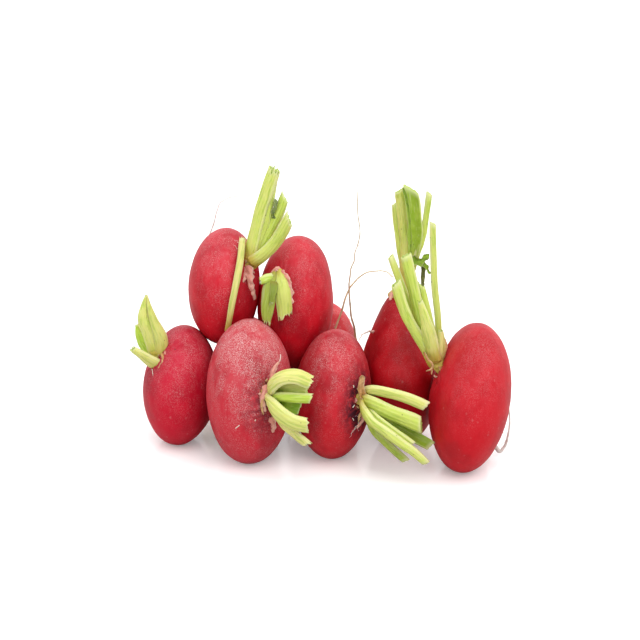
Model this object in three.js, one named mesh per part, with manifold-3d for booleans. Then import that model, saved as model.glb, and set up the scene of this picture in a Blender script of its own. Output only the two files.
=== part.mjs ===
// A bunch of nine fresh radishes lying in a loose pile: seven on the surface and two on top of them.
// Each radish is one grown globe with its taproot, and carries its own bundle of trimmed leaf stalks.
// Millimetres, +Z up, +Y away from the front of the pile. The origin is under the middle of the pile.
import * as THREE from "three";
import { mergeVertices } from "three/addons/utils/BufferGeometryUtils.js";
import Module from "manifold-3d";

const wasm = await Module();
wasm.setup();

// Shared sizes
const PILE_MIDDLE = [0.3, 19.5]; // from the point that the places below count from, across and back
const SEAM = 0.3; // room left between a stalk bundle and its own globe
const CROWN_HOLLOW = 0.06; // how far the shoulder dips round the crown, as a share of the globe
const CROWN_SPREAD = 0.45; // radians
const ROOT_RISE = 0.12; // how far the globe is drawn out to its root, as a share of the globe
const ROOT_SPREAD = 0.16; // radians
const CROWN_BALL = 2.7; // radius of the knot of stalk bases
const CROWN_LIFT = 0.7; // how far that knot's middle stands off the globe
const LATITUDES = [0, 15, 32, 50, 68, 86, 104, 122, 140, 156, 168, 175, 180]; // degrees from the crown
const MERIDIANS = 16;
const STALK_SIDES = 10;
const TAIL_SIDES = 6;

// Surface colours
const STALK_GREEN = 0xcdd47a;
const HUSK_PINK = 0xc9827c;
const HUSK_BROWN = 0xa9764c;

// Every radish: the middle of its globe, half its width, depth and height, the degrees that its top leans
// to the right, the directions of its crown and its root from the middle, in half sizes, and its taproot.
// A stalk has its route from crown to cut, its width and thickness, how deep its channel is, where the
// channel opens to, and how far its cut end slopes.
const RADISHES = {
  left: {
    middle: [-37.7, 15.1, 16.0],
    half: [9.5, 13.1, 16.5],
    lean: 5,
    crown: [-0.72, -0.3, 0.63],
    root: [0.86, 0.15, -0.5],
    colour: 0xc64756,
    tails: [
      { route: [[-31, 16.5, 8.8], [-28.8, 20, 5.4], [-29, 25, 2.6], [-32, 33, 1.2]], from: 2, to: 0.8 },
    ],
    stalks: [
      { route: [[-43, 11.8, 26.4], [-44, 11, 33.5], [-46.2, 10.5, 39.8]], wide: 5.0, thick: 4.6,
        channel: 1.0, opens: [-0.8, -0.5, 0.2], cut: [1.5, 0, 0] },
      { route: [[-43.2, 12.6, 25.8], [-46.4, 15, 29], [-48.6, 16.6, 32]], wide: 4.2, thick: 3.2,
        channel: 1.3, opens: [0.6, -0.6, 0.6], cut: [1, 0, 0.5] },
      { route: [[-43, 11.2, 25.4], [-46.2, 9, 27.4], [-48.8, 7.2, 29.2]], wide: 4.2, thick: 3.2,
        channel: 1.3, opens: [0.5, 0.3, 0.8], cut: [0, 0, 0.5] },
    ],
  },
  front_left: {
    middle: [-18.7, 2.7, 19.2],
    half: [11.3, 14.8, 19.7],
    lean: 1,
    crown: [0.458, -0.853, 0.252],
    root: [-0.45, 0.86, -0.23],
    colour: 0xc83646,
    tails: [
      { route: [[-23.4, 14.2, 15.2], [-26, 18, 10.5], [-30.2, 22.6, 5], [-36, 31, 1.2]], from: 2, to: 0.8 },
    ],
    stalks: [
      { route: [[-13.1, -10.5, 25.2], [-11.3, -13, 29.4], [-7.1, -14.5, 30.9], [-2.8, -14, 28.2]],
        wide: 4.4, thick: 3.6, channel: 1.5, opens: [0, -0.75, -0.65], cut: [0, 0, 0.3] },
      { route: [[-13.2, -10.5, 24.2], [-8, -13.2, 24.5], [-2.6, -13.8, 24.2]], wide: 3.8, thick: 3.4,
        channel: 1.0, opens: [0, 0.8, 0.5], cut: [0, 0, 0.5] },
      { route: [[-13.4, -10.5, 23.4], [-12.1, -13.5, 21], [-8.7, -15, 18.6], [-3.3, -14.4, 17.6]],
        wide: 5.0, thick: 4.4, channel: 1.4, opens: [0.2, 0, 1], cut: [0, 0, -0.2] },
      { route: [[-12.9, -10.5, 22.6], [-10.6, -12.4, 17.4], [-7.5, -12.4, 14], [-3.6, -12, 11.4]],
        wide: 3.6, thick: 3.0, channel: 1.5, opens: [0.2, -0.5, 1], cut: [0, 0, 0.6] },
    ],
  },
  front_middle: {
    middle: [3.5, 5.8, 17.2],
    half: [10.1, 13.7, 17.7],
    lean: 3,
    crown: [0.726, -0.668, 0.159],
    root: [-0.77, 0.61, -0.17],
    colour: 0xbb2f37,
    tails: [{ route: [[-3.6, 13.3, 14.6], [-6.8, 18.5, 9.6], [-8.5, 26, 4.4], [-9, 34, 1.6], [-9, 45, 1.1]],
      from: 2, to: 0.8 }],
    stalks: [
      { route: [[11.5, -3, 21], [19.3, -6.6, 21.7], [27, -10.2, 20.7]], wide: 3.8, thick: 3.4,
        channel: 1.0, opens: [0, 0.6, 0.8], cut: [0, 0, 0.4] },
      { route: [[11.5, -4, 20], [19, -8, 18.3], [26, -11.6, 16]], wide: 4.6, thick: 3.8,
        channel: 1.3, opens: [0.2, -0.3, 1], cut: [0, 0, -0.4] },
      { route: [[11.5, -4.5, 19], [13, -9, 16.4], [17.4, -12, 12.9], [24.1, -14, 9]], wide: 4.4, thick: 3.8,
        channel: 1.1, opens: [0.3, 0.3, 1], cut: [0, 0, 0.7] },
      { route: [[12, -4, 18.4], [14.1, -6.9, 12.1], [22.6, -9.8, 4.2]], wide: 3.0, thick: 2.6,
        channel: 1.0, opens: [0.6, -0.3, 0.7], cut: [0, 0, 0.5] },
      { route: [[12.3, -4, 19.4], [19.8, -8, 13.9], [27.8, -11, 9]], wide: 3.2, thick: 2.8,
        channel: 1.3, opens: [0.3, -0.5, 0.8], cut: [0, 0, 0.5] },
    ],
  },
  right: {
    middle: [39.4, -3.0, 19.8],
    half: [10.5, 16.3, 20.4],
    lean: 6,
    crown: [-0.905, 0, 0.426],
    root: [0.58, 0.37, -0.71],
    colour: 0xd02d3b,
    tails: [{ route: [[44.6, 2.6, 6.2], [46.6, 4, 3.4], [48.6, 4.2, 3.6], [50, 4.2, 7.5], [50.2, 4.2, 11.5],
      [50, 4.2, 15]], from: 2, to: 0.8 }],
    stalks: [
      { route: [[29.7, -3, 29.8], [24.5, -4, 41.2], [18.2, -4, 51.4]], wide: 2.9, thick: 3.4,
        channel: 1.0, opens: [0.3, 0.9, 0.2], cut: [0.6, 0, 0] },
      { route: [[29.7, -2, 30.2], [23.8, 0.4, 43], [18.1, 2, 57]], wide: 1.9, thick: 2.4,
        channel: 1.0, opens: [0, 1, 0], cut: [0.5, 0, 0] },
      { route: [[29.9, -3, 30.2], [26.1, -3.2, 42], [21.8, -2.4, 58.9]], wide: 3.4, thick: 3.8,
        channel: 1.3, opens: [0.6, -0.7, 0], cut: [0.8, 0, 0] },
      { route: [[30.8, -2, 30.2], [30.7, -1, 43.5], [28.9, 1, 66.5]], wide: 1.9, thick: 2.6,
        channel: 1.0, opens: [-0.7, 0.6, 0], cut: [-0.6, 0, 0] },
      { route: [[29.6, -4.2, 30.4], [27.4, -6.6, 41], [25.5, -8, 49.2]], wide: 3.2, thick: 3.0,
        channel: 1.2, opens: [0.3, -0.9, 0.3], cut: [0.4, 0, 0] },
    ],
  },
  upper_left: {
    middle: [-26.1, 21.3, 42.4],
    half: [9.3, 12.9, 16.0],
    lean: 3,
    crown: [0.721, -0.418, 0.552],
    root: [-0.6, 0.8, 0.0],
    colour: 0xcd323f,
    tails: [{ route: [[-31.2, 31, 42.4], [-32, 34.6, 46], [-29.6, 36, 54], [-28.2, 36, 58.5],
      [-26.4, 36, 61.9], [-21.2, 36, 63.4]], from: 1.6, to: 0.8 }],
    stalks: [
      { route: [[-18.8, 16, 51.2], [-16, 15.2, 63.8], [-12, 14, 77.2]], wide: 4.0, thick: 3.8,
        channel: 1.2, opens: [0.8, -0.6, 0], cut: [-0.6, 0, 0] },
      { route: [[-18, 15.5, 51.4], [-14.2, 15, 60], [-9.2, 15, 69.3]], wide: 3.4, thick: 3.2,
        channel: 1.1, opens: [0.3, 0.9, 0], cut: [-1.1, 0, 0] },
      { route: [[-18, 14.5, 51.2], [-13.1, 12.7, 56.4], [-8.1, 11.5, 64]], wide: 3.9, thick: 3.4,
        channel: 1.2, opens: [0.1, 0.9, 0.3], cut: [-1.2, 0, 0] },
    ],
    folded: { route: [[-19.0, 15.4, 56.3], [-19.8, 12.7, 53.2], [-21.7, 7.9, 47.2], [-23.3, 6.9, 40.4],
      [-24.2, 8.1, 35.8]], wide: 1.9, thick: 1.3, channel: 0.7, opens: [0, 1, 0.2], cut: [0, 0, 0] },
  },
  upper_middle: {
    middle: [-6.8, 22.7, 37.9],
    half: [10.1, 13.8, 17.7],
    lean: 4,
    crown: [-0.473, -0.757, 0.453],
    root: [0.3, 0.94, -0.1],
    colour: 0xd33b49,
    tails: [{ route: [[-3.8, 34.2, 36.4], [-3, 40, 35], [-2.2, 46, 31], [-1.5, 50, 23]], from: 2, to: 0.8 }],
    stalks: [
      { route: [[-11.6, 11.5, 46.8], [-12.9, 7.2, 43.4], [-13.8, 5.4, 39.8]], wide: 4.2, thick: 3.4,
        channel: 1.5, opens: [0.2, -0.9, 0.2], cut: [0, 0.5, 0] },
      { route: [[-10.8, 11.2, 47], [-9.7, 7.6, 43.8], [-9.1, 6.5, 40.4]], wide: 4.2, thick: 3.4,
        channel: 1.0, opens: [-0.1, 0.9, 0.2], cut: [0, 0.5, 0] },
      { route: [[-11.6, 11.4, 47], [-13.4, 9.8, 48], [-15.2, 9, 48.2]], wide: 3.2, thick: 3.2,
        channel: 0.6, opens: [0, 0, 1], cut: [0, 0, 0.2] },
    ],
  },
  behind_right: {
    middle: [21.5, 18.1, 20.7],
    half: [9.2, 16.8, 21.2],
    lean: -5,
    crown: [-0.05, 0, 0.998],
    root: [0.15, 0.6, -0.78],
    colour: 0xb11d29,
    taper: 0.85,
    tails: [
      { route: [[22.9, 27.4, 4.9], [23.6, 31, 2.2], [24.6, 36, 1.2], [23, 44, 1.1]], from: 2, to: 0.8 },
      { route: [[17, 17, 32.5], [15, 10.6, 34.2], [12.1, 4, 35.3], [10.7, 2, 34.6]], from: 1.1, to: 0.8 },
    ],
    stalks: [
      { route: [[19.4, 18, 41.6], [20.8, 20, 53], [19.1, 22, 65.8]], wide: 2.2, thick: 2.8,
        channel: 1.0, opens: [0, 1, 0], cut: [0.5, 0, 0] },
      { route: [[19.4, 18, 41.6], [22.2, 18.4, 56], [20.5, 18.6, 70]], wide: 3.2, thick: 3.2,
        channel: 1.2, opens: [0.7, -0.7, 0], cut: [0.7, 0, 0] },
      { route: [[19.5, 17.5, 41.6], [24.1, 15.4, 55.4], [24.9, 14, 71.4]], wide: 3.6, thick: 3.4,
        channel: 1.5, opens: [-0.2, -1, 0], cut: [0.4, 0, 0] },
      { route: [[19.8, 17.6, 41.6], [26, 17.2, 54.2], [28.4, 18, 69.6]], wide: 2.2, thick: 2.8,
        channel: 1.0, opens: [-0.7, 0.6, 0], cut: [-0.6, 0, 0] },
    ],
  },
  behind_middle: {
    middle: [2.9, 37.0, 15.4],
    half: [9.1, 12.7, 15.9],
    lean: 0,
    crown: [-0.3, 0.9, 0.3],
    root: [0.75, -0.6, 0.3],
    colour: 0xd84e55,
    tails: [{ route: [[9.2, 30.2, 20], [9.8, 28, 25], [8.6, 27, 32], [7.9, 27, 38.9], [8.4, 28, 44.4],
      [9.6, 29, 49], [10.6, 30, 54], [10.1, 30, 66]], from: 2.2, to: 0.9 }],
    stalks: [
      { route: [[0.4, 47.6, 19.8], [-2.6, 52, 22.4], [-6.4, 56.6, 23.6]], wide: 3.4, thick: 3.0,
        channel: 1.2, opens: [0.5, 0, 0.9], cut: [0.5, 0, 0.3] },
      { route: [[0.6, 47.6, 20], [0.6, 52.6, 23.4], [-0.4, 57.4, 27.6]], wide: 3.2, thick: 2.8,
        channel: 1.3, opens: [0, -0.6, 0.8], cut: [0, 0, 0.6] },
      { route: [[0.8, 47.6, 19.6], [4, 52.6, 20.4], [8, 56.4, 20]], wide: 3.2, thick: 2.8,
        channel: 1.1, opens: [-0.4, 0, 0.9], cut: [-0.6, 0, 0] },
      { route: [[0.6, 47.6, 19], [0.6, 52.4, 15.6], [-1.4, 57.6, 11.6]], wide: 3.0, thick: 2.6,
        channel: 1.2, opens: [0, 0.5, 0.8], cut: [0, 0, -0.5] },
    ],
  },
  back_left: {
    middle: [-20.1, 29.7, 14.8],
    half: [8.6, 12.1, 15.3],
    lean: 0,
    crown: [-0.85, 0.5, 0.1],
    root: [0.9, -0.1, 0.3],
    colour: 0xc93a4a,
    tails: [{ route: [[-13, 28.6, 19], [-9.4, 27, 18.2], [-5.6, 25, 17.6], [0, 22.4, 21], [3.5, 21.5, 30.2],
      [5.9, 20, 36], [7.5, 19, 41.5], [8.8, 18.5, 44], [11.5, 18, 46.7], [14.6, 17, 48.1], [17.3, 15.8, 48.3],
      [19.3, 13.6, 47.6]], from: 2, to: 0.9 }],
    stalks: [
      { route: [[-27.2, 35.5, 16.2], [-31, 40.4, 16.6], [-33.8, 46.4, 16]], wide: 3.2, thick: 2.8,
        channel: 1.2, opens: [0.6, 0, 0.8], cut: [0.5, 0, 0.4] },
      { route: [[-27.2, 35.3, 16], [-32.6, 38.2, 15.4], [-38.2, 41.4, 13.6]], wide: 3.4, thick: 2.8,
        channel: 1.2, opens: [0, 0.2, 1], cut: [0, 0, 0.5] },
      { route: [[-27, 35.7, 15.6], [-29.6, 40.6, 12.6], [-32.6, 46.6, 8.6]], wide: 3.2, thick: 2.6,
        channel: 1.3, opens: [-0.3, 0.3, 0.8], cut: [0, 0, -0.5] },
    ],
  },
};

// Loose papery sheaths that are torn from the crowns: their route, width, thickness and colour.
const HUSKS = {
  husk_upper_left: {
    of: "upper_left", route: [[-19.2, 12.2, 48.6], [-18.6, 11.6, 45.8], [-17.5, 11.2, 42]],
    wide: 2.4, thick: 0.8, opens: [0.6, 0.8, 0], colour: HUSK_PINK,
  },
  husk_front_middle: {
    of: "front_middle", route: [[10.8, -6.2, 20.6], [10.6, -6.6, 23.4], [11.2, -5.4, 26]],
    wide: 1.8, thick: 0.8, opens: [0.6, 0.8, 0], colour: HUSK_BROWN,
  },
};

const vector = (place) => new THREE.Vector3(...place);
const smooth = (s) => s * s * (3 - 2 * s);

// Joins a row of rings into one closed skin. An end ring of one point is a pole, and any other end ring is
// closed by a fan from its first point.
function skin(rings) {
  const points = rings.flat();
  const starts = [];
  let count = 0;
  for (const ring of rings) {
    starts.push(count);
    count += ring.length;
  }
  const faces = [];
  for (let k = 0; k + 1 < rings.length; k++) {
    const sides = Math.max(rings[k].length, rings[k + 1].length);
    for (let i = 0; i < sides; i++) {
      const j = (i + 1) % sides;
      const a = starts[k] + (rings[k].length === 1 ? 0 : i);
      const b = starts[k] + (rings[k].length === 1 ? 0 : j);
      const c = starts[k + 1] + (rings[k + 1].length === 1 ? 0 : j);
      const d = starts[k + 1] + (rings[k + 1].length === 1 ? 0 : i);
      if (a !== b) faces.push(a, b, c);
      if (c !== d) faces.push(a, c, d);
    }
  }
  const last = rings.length - 1;
  const end = starts[last];
  for (let i = 1; i + 1 < rings[0].length; i++) faces.push(0, i + 1, i);
  for (let i = 1; i + 1 < rings[last].length; i++) faces.push(end, end + i, end + i + 1);
  const geometry = new THREE.BufferGeometry().setFromPoints(points);
  geometry.setIndex(signedVolume(points, faces) < 0 ? faces.reverse() : faces);
  return geometry;
}

// Six times the volume inside a closed skin, negative where its faces point in.
function signedVolume(points, faces) {
  let sum = 0;
  const cross = new THREE.Vector3();
  for (let i = 0; i < faces.length; i += 3) {
    sum += points[faces[i]].dot(cross.crossVectors(points[faces[i + 1]], points[faces[i + 2]]));
  }
  return sum;
}

// A closed geometry as a solid that can be joined and cut.
function solid(geometry) {
  const bare = geometry.clone();
  bare.deleteAttribute("normal");
  bare.deleteAttribute("uv");
  const merged = mergeVertices(bare, 1e-4);
  return new wasm.Manifold(new wasm.Mesh({
    numProp: 3,
    vertProperties: new Float32Array(merged.attributes.position.array),
    triVerts: new Uint32Array(merged.index.array),
  }));
}

// A solid back as a geometry with flat faces.
function faceted(body) {
  const mesh = body.getMesh();
  const geometry = new THREE.BufferGeometry();
  geometry.setAttribute("position", new THREE.BufferAttribute(new Float32Array(mesh.vertProperties), 3));
  geometry.setIndex(new THREE.BufferAttribute(new Uint32Array(mesh.triVerts), 1));
  const flat = geometry.toNonIndexed();
  flat.computeVertexNormals();
  return flat;
}

// Where a direction from the globe's middle meets its skin: the half sizes, less the hollow round the crown,
// plus the rise to the root, and with the upper half narrowed by the globe's own taper.
function onGlobe(radish, direction, grow) {
  const fromCrown = direction.angleTo(vector(radish.crown));
  const fromRoot = direction.angleTo(vector(radish.root));
  const hollow = CROWN_HOLLOW * Math.exp(-((fromCrown / CROWN_SPREAD) ** 2));
  const rise = ROOT_RISE * Math.exp(-fromRoot / ROOT_SPREAD);
  const above = Math.max(0, direction.z);
  const narrow = 1 - (radish.taper ?? 0) * above ** 2 / (above + 0.25);
  const half = radish.half.map((size) => size + grow);
  const point = vector([
    half[0] * direction.x * narrow,
    half[1] * direction.y * narrow,
    half[2] * direction.z,
  ]).multiplyScalar(1 - hollow + rise);
  point.applyAxisAngle(new THREE.Vector3(0, 1, 0), THREE.MathUtils.degToRad(radish.lean));
  return point.add(vector(radish.middle));
}

// The globe's skin in rings from crown to root. The rings turn steadily from the crown's axis to the root's.
function globe(radish, grow = 0) {
  const crown = vector(radish.crown).normalize();
  const root = vector(radish.root).normalize();
  const hinge = new THREE.Vector3().crossVectors(crown.clone().negate(), root).normalize();
  const bend = crown.clone().negate().angleTo(root);
  const side = new THREE.Vector3().crossVectors(crown, hinge).normalize();
  const across = new THREE.Vector3().crossVectors(side, crown);
  const rings = LATITUDES.map((degrees) => {
    const latitude = THREE.MathUtils.degToRad(degrees);
    const turn = bend * smooth(degrees / 180);
    const pole = degrees === 0 || degrees === 180;
    const ring = [];
    for (let i = 0; i < (pole ? 1 : MERIDIANS); i++) {
      const longitude = 2 * Math.PI * i / MERIDIANS;
      const direction = crown.clone().multiplyScalar(Math.cos(latitude))
        .addScaledVector(side, Math.sin(latitude) * Math.cos(longitude))
        .addScaledVector(across, Math.sin(latitude) * Math.sin(longitude))
        .applyAxisAngle(hinge, turn);
      ring.push(onGlobe(radish, direction, grow));
    }
    return ring;
  });
  return solid(skin(rings));
}

// Carries a section along a smooth route. The section gives each point's place across and up, in
// millimetres, for the share of the route that is done. Up is kept towards one direction.
function sweep(route, steps, sides, section, opens, cut = [0, 0, 0]) {
  const curve = new THREE.CatmullRomCurve3(route.map(vector), false, "catmullrom", 0.5);
  const rings = [];
  for (let k = 0; k <= steps; k++) {
    const share = k / steps;
    const middle = curve.getPoint(share);
    const along = curve.getTangent(share);
    const across = new THREE.Vector3().crossVectors(along, vector(opens)).normalize();
    const up = new THREE.Vector3().crossVectors(across, along);
    const ring = [];
    for (let i = 0; i < sides; i++) {
      const angle = -Math.PI / 2 + 2 * Math.PI * i / sides;
      const [x, y] = section(angle, share);
      const offset = new THREE.Vector3().addScaledVector(across, x).addScaledVector(up, y);
      const slope = share ** 4 * offset.dot(vector(cut));
      ring.push(middle.clone().add(offset).addScaledVector(along, slope));
    }
    rings.push(ring);
  }
  return solid(skin(rings));
}

// A leaf stalk: a half-round gutter, wider where it clasps the crown.
function stalk({ route, wide, thick, channel, opens, cut }) {
  const section = (angle, share) => {
    const clasp = Math.exp(-5 * share);
    const rise = Math.sin(angle);
    return [
      wide / 2 * (1 + 0.3 * clasp) * Math.cos(angle),
      thick / 2 * (1 - 0.2 * clasp) * (rise - channel * Math.max(0, rise) ** 2),
    ];
  };
  return sweep(route, 2 * route.length - 1, STALK_SIDES, section, opens, cut);
}

// A taproot: a thin round cord that tapers from its first width to its last.
function tail({ route, from, to }) {
  const section = (angle, share) => {
    const radius = (from + (to - from) * Math.sqrt(share)) / 2;
    return [radius * Math.cos(angle), radius * Math.sin(angle)];
  };
  return sweep(route, 2 * route.length, TAIL_SIDES, section, [0.31, 0.17, 0.29]);
}

// A torn sheath: a thin bent blade that narrows to its tip.
function husk({ route, wide, thick, opens }) {
  const section = (angle, share) => [
    wide / 2 * (1 - 0.55 * share) * Math.cos(angle),
    thick / 2 * Math.sin(angle),
  ];
  return sweep(route, 2 * route.length, TAIL_SIDES, section, opens);
}

// The knot of stalk bases that sits in the crown's hollow.
function crownKnot(radish) {
  const crown = vector(radish.crown).normalize();
  const place = onGlobe(radish, crown, CROWN_LIFT);
  const ball = new THREE.SphereGeometry(CROWN_BALL, 8, 6);
  ball.translate(place.x, place.y, place.z);
  return solid(ball);
}

// Everything below the surface that the pile lies on.
function underSurface() {
  const slab = new THREE.BoxGeometry(300, 300, 40);
  slab.translate(0, 0, -20);
  return solid(slab);
}

const bunch = new THREE.Group();
bunch.name = "bunch_of_radishes";
const ground = underSurface();

function addPiece(name, body, colour, roughness) {
  const material = new THREE.MeshStandardMaterial({ color: colour, roughness, metalness: 0 });
  const mesh = new THREE.Mesh(faceted(body), material);
  mesh.name = name;
  mesh.position.set(-PILE_MIDDLE[0], -PILE_MIDDLE[1], 0);
  bunch.add(mesh);
}

for (const [place, radish] of Object.entries(RADISHES)) {
  const taproots = radish.tails.map(tail);
  const root = wasm.Manifold.union([globe(radish), ...taproots]).subtract(ground);
  addPiece(`radish_${place}`, root, radish.colour, 0.35);

  const stems = radish.folded ? [...radish.stalks, radish.folded] : radish.stalks;
  const bundle = wasm.Manifold.union([crownKnot(radish), ...stems.map(stalk)]);
  addPiece(`stalks_${place}`, bundle.subtract(globe(radish, SEAM)), STALK_GREEN, 0.5);
}

for (const [name, sheath] of Object.entries(HUSKS)) {
  const grown = husk(sheath).subtract(globe(RADISHES[sheath.of], SEAM));
  addPiece(name, grown, sheath.colour, 0.7);
}

export default bunch;
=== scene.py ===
"""A bunch of nine fresh radishes with trimmed leaf stalks, lying in a loose pile.

Shapes are grids of points worked out with numpy in millimetres, from the tables of places below, and then
set down in metres. Each radish is one skin from its crown to the tip of its taproot. Its stalks are
half-round gutters with cut ends, and torn sheaths, scraps and root hairs are small pieces of their own.
"""
import math

import bpy
import numpy as np
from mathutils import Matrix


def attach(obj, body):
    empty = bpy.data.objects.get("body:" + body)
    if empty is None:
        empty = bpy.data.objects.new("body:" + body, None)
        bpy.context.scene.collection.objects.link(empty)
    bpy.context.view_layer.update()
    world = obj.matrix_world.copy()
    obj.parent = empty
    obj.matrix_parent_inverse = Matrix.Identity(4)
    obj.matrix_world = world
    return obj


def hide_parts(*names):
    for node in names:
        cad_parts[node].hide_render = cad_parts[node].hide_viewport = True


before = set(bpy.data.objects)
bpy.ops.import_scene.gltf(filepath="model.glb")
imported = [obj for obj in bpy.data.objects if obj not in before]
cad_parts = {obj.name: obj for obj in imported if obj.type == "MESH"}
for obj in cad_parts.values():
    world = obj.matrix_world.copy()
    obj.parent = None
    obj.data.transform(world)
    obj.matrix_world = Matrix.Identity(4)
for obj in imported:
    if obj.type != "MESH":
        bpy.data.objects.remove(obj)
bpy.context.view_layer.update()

METRE = 0.001  # one millimetre, in metres
PILE_MIDDLE = np.array([0.3, 19.5, 0.0])  # the place in the tables that lies at the origin

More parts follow.
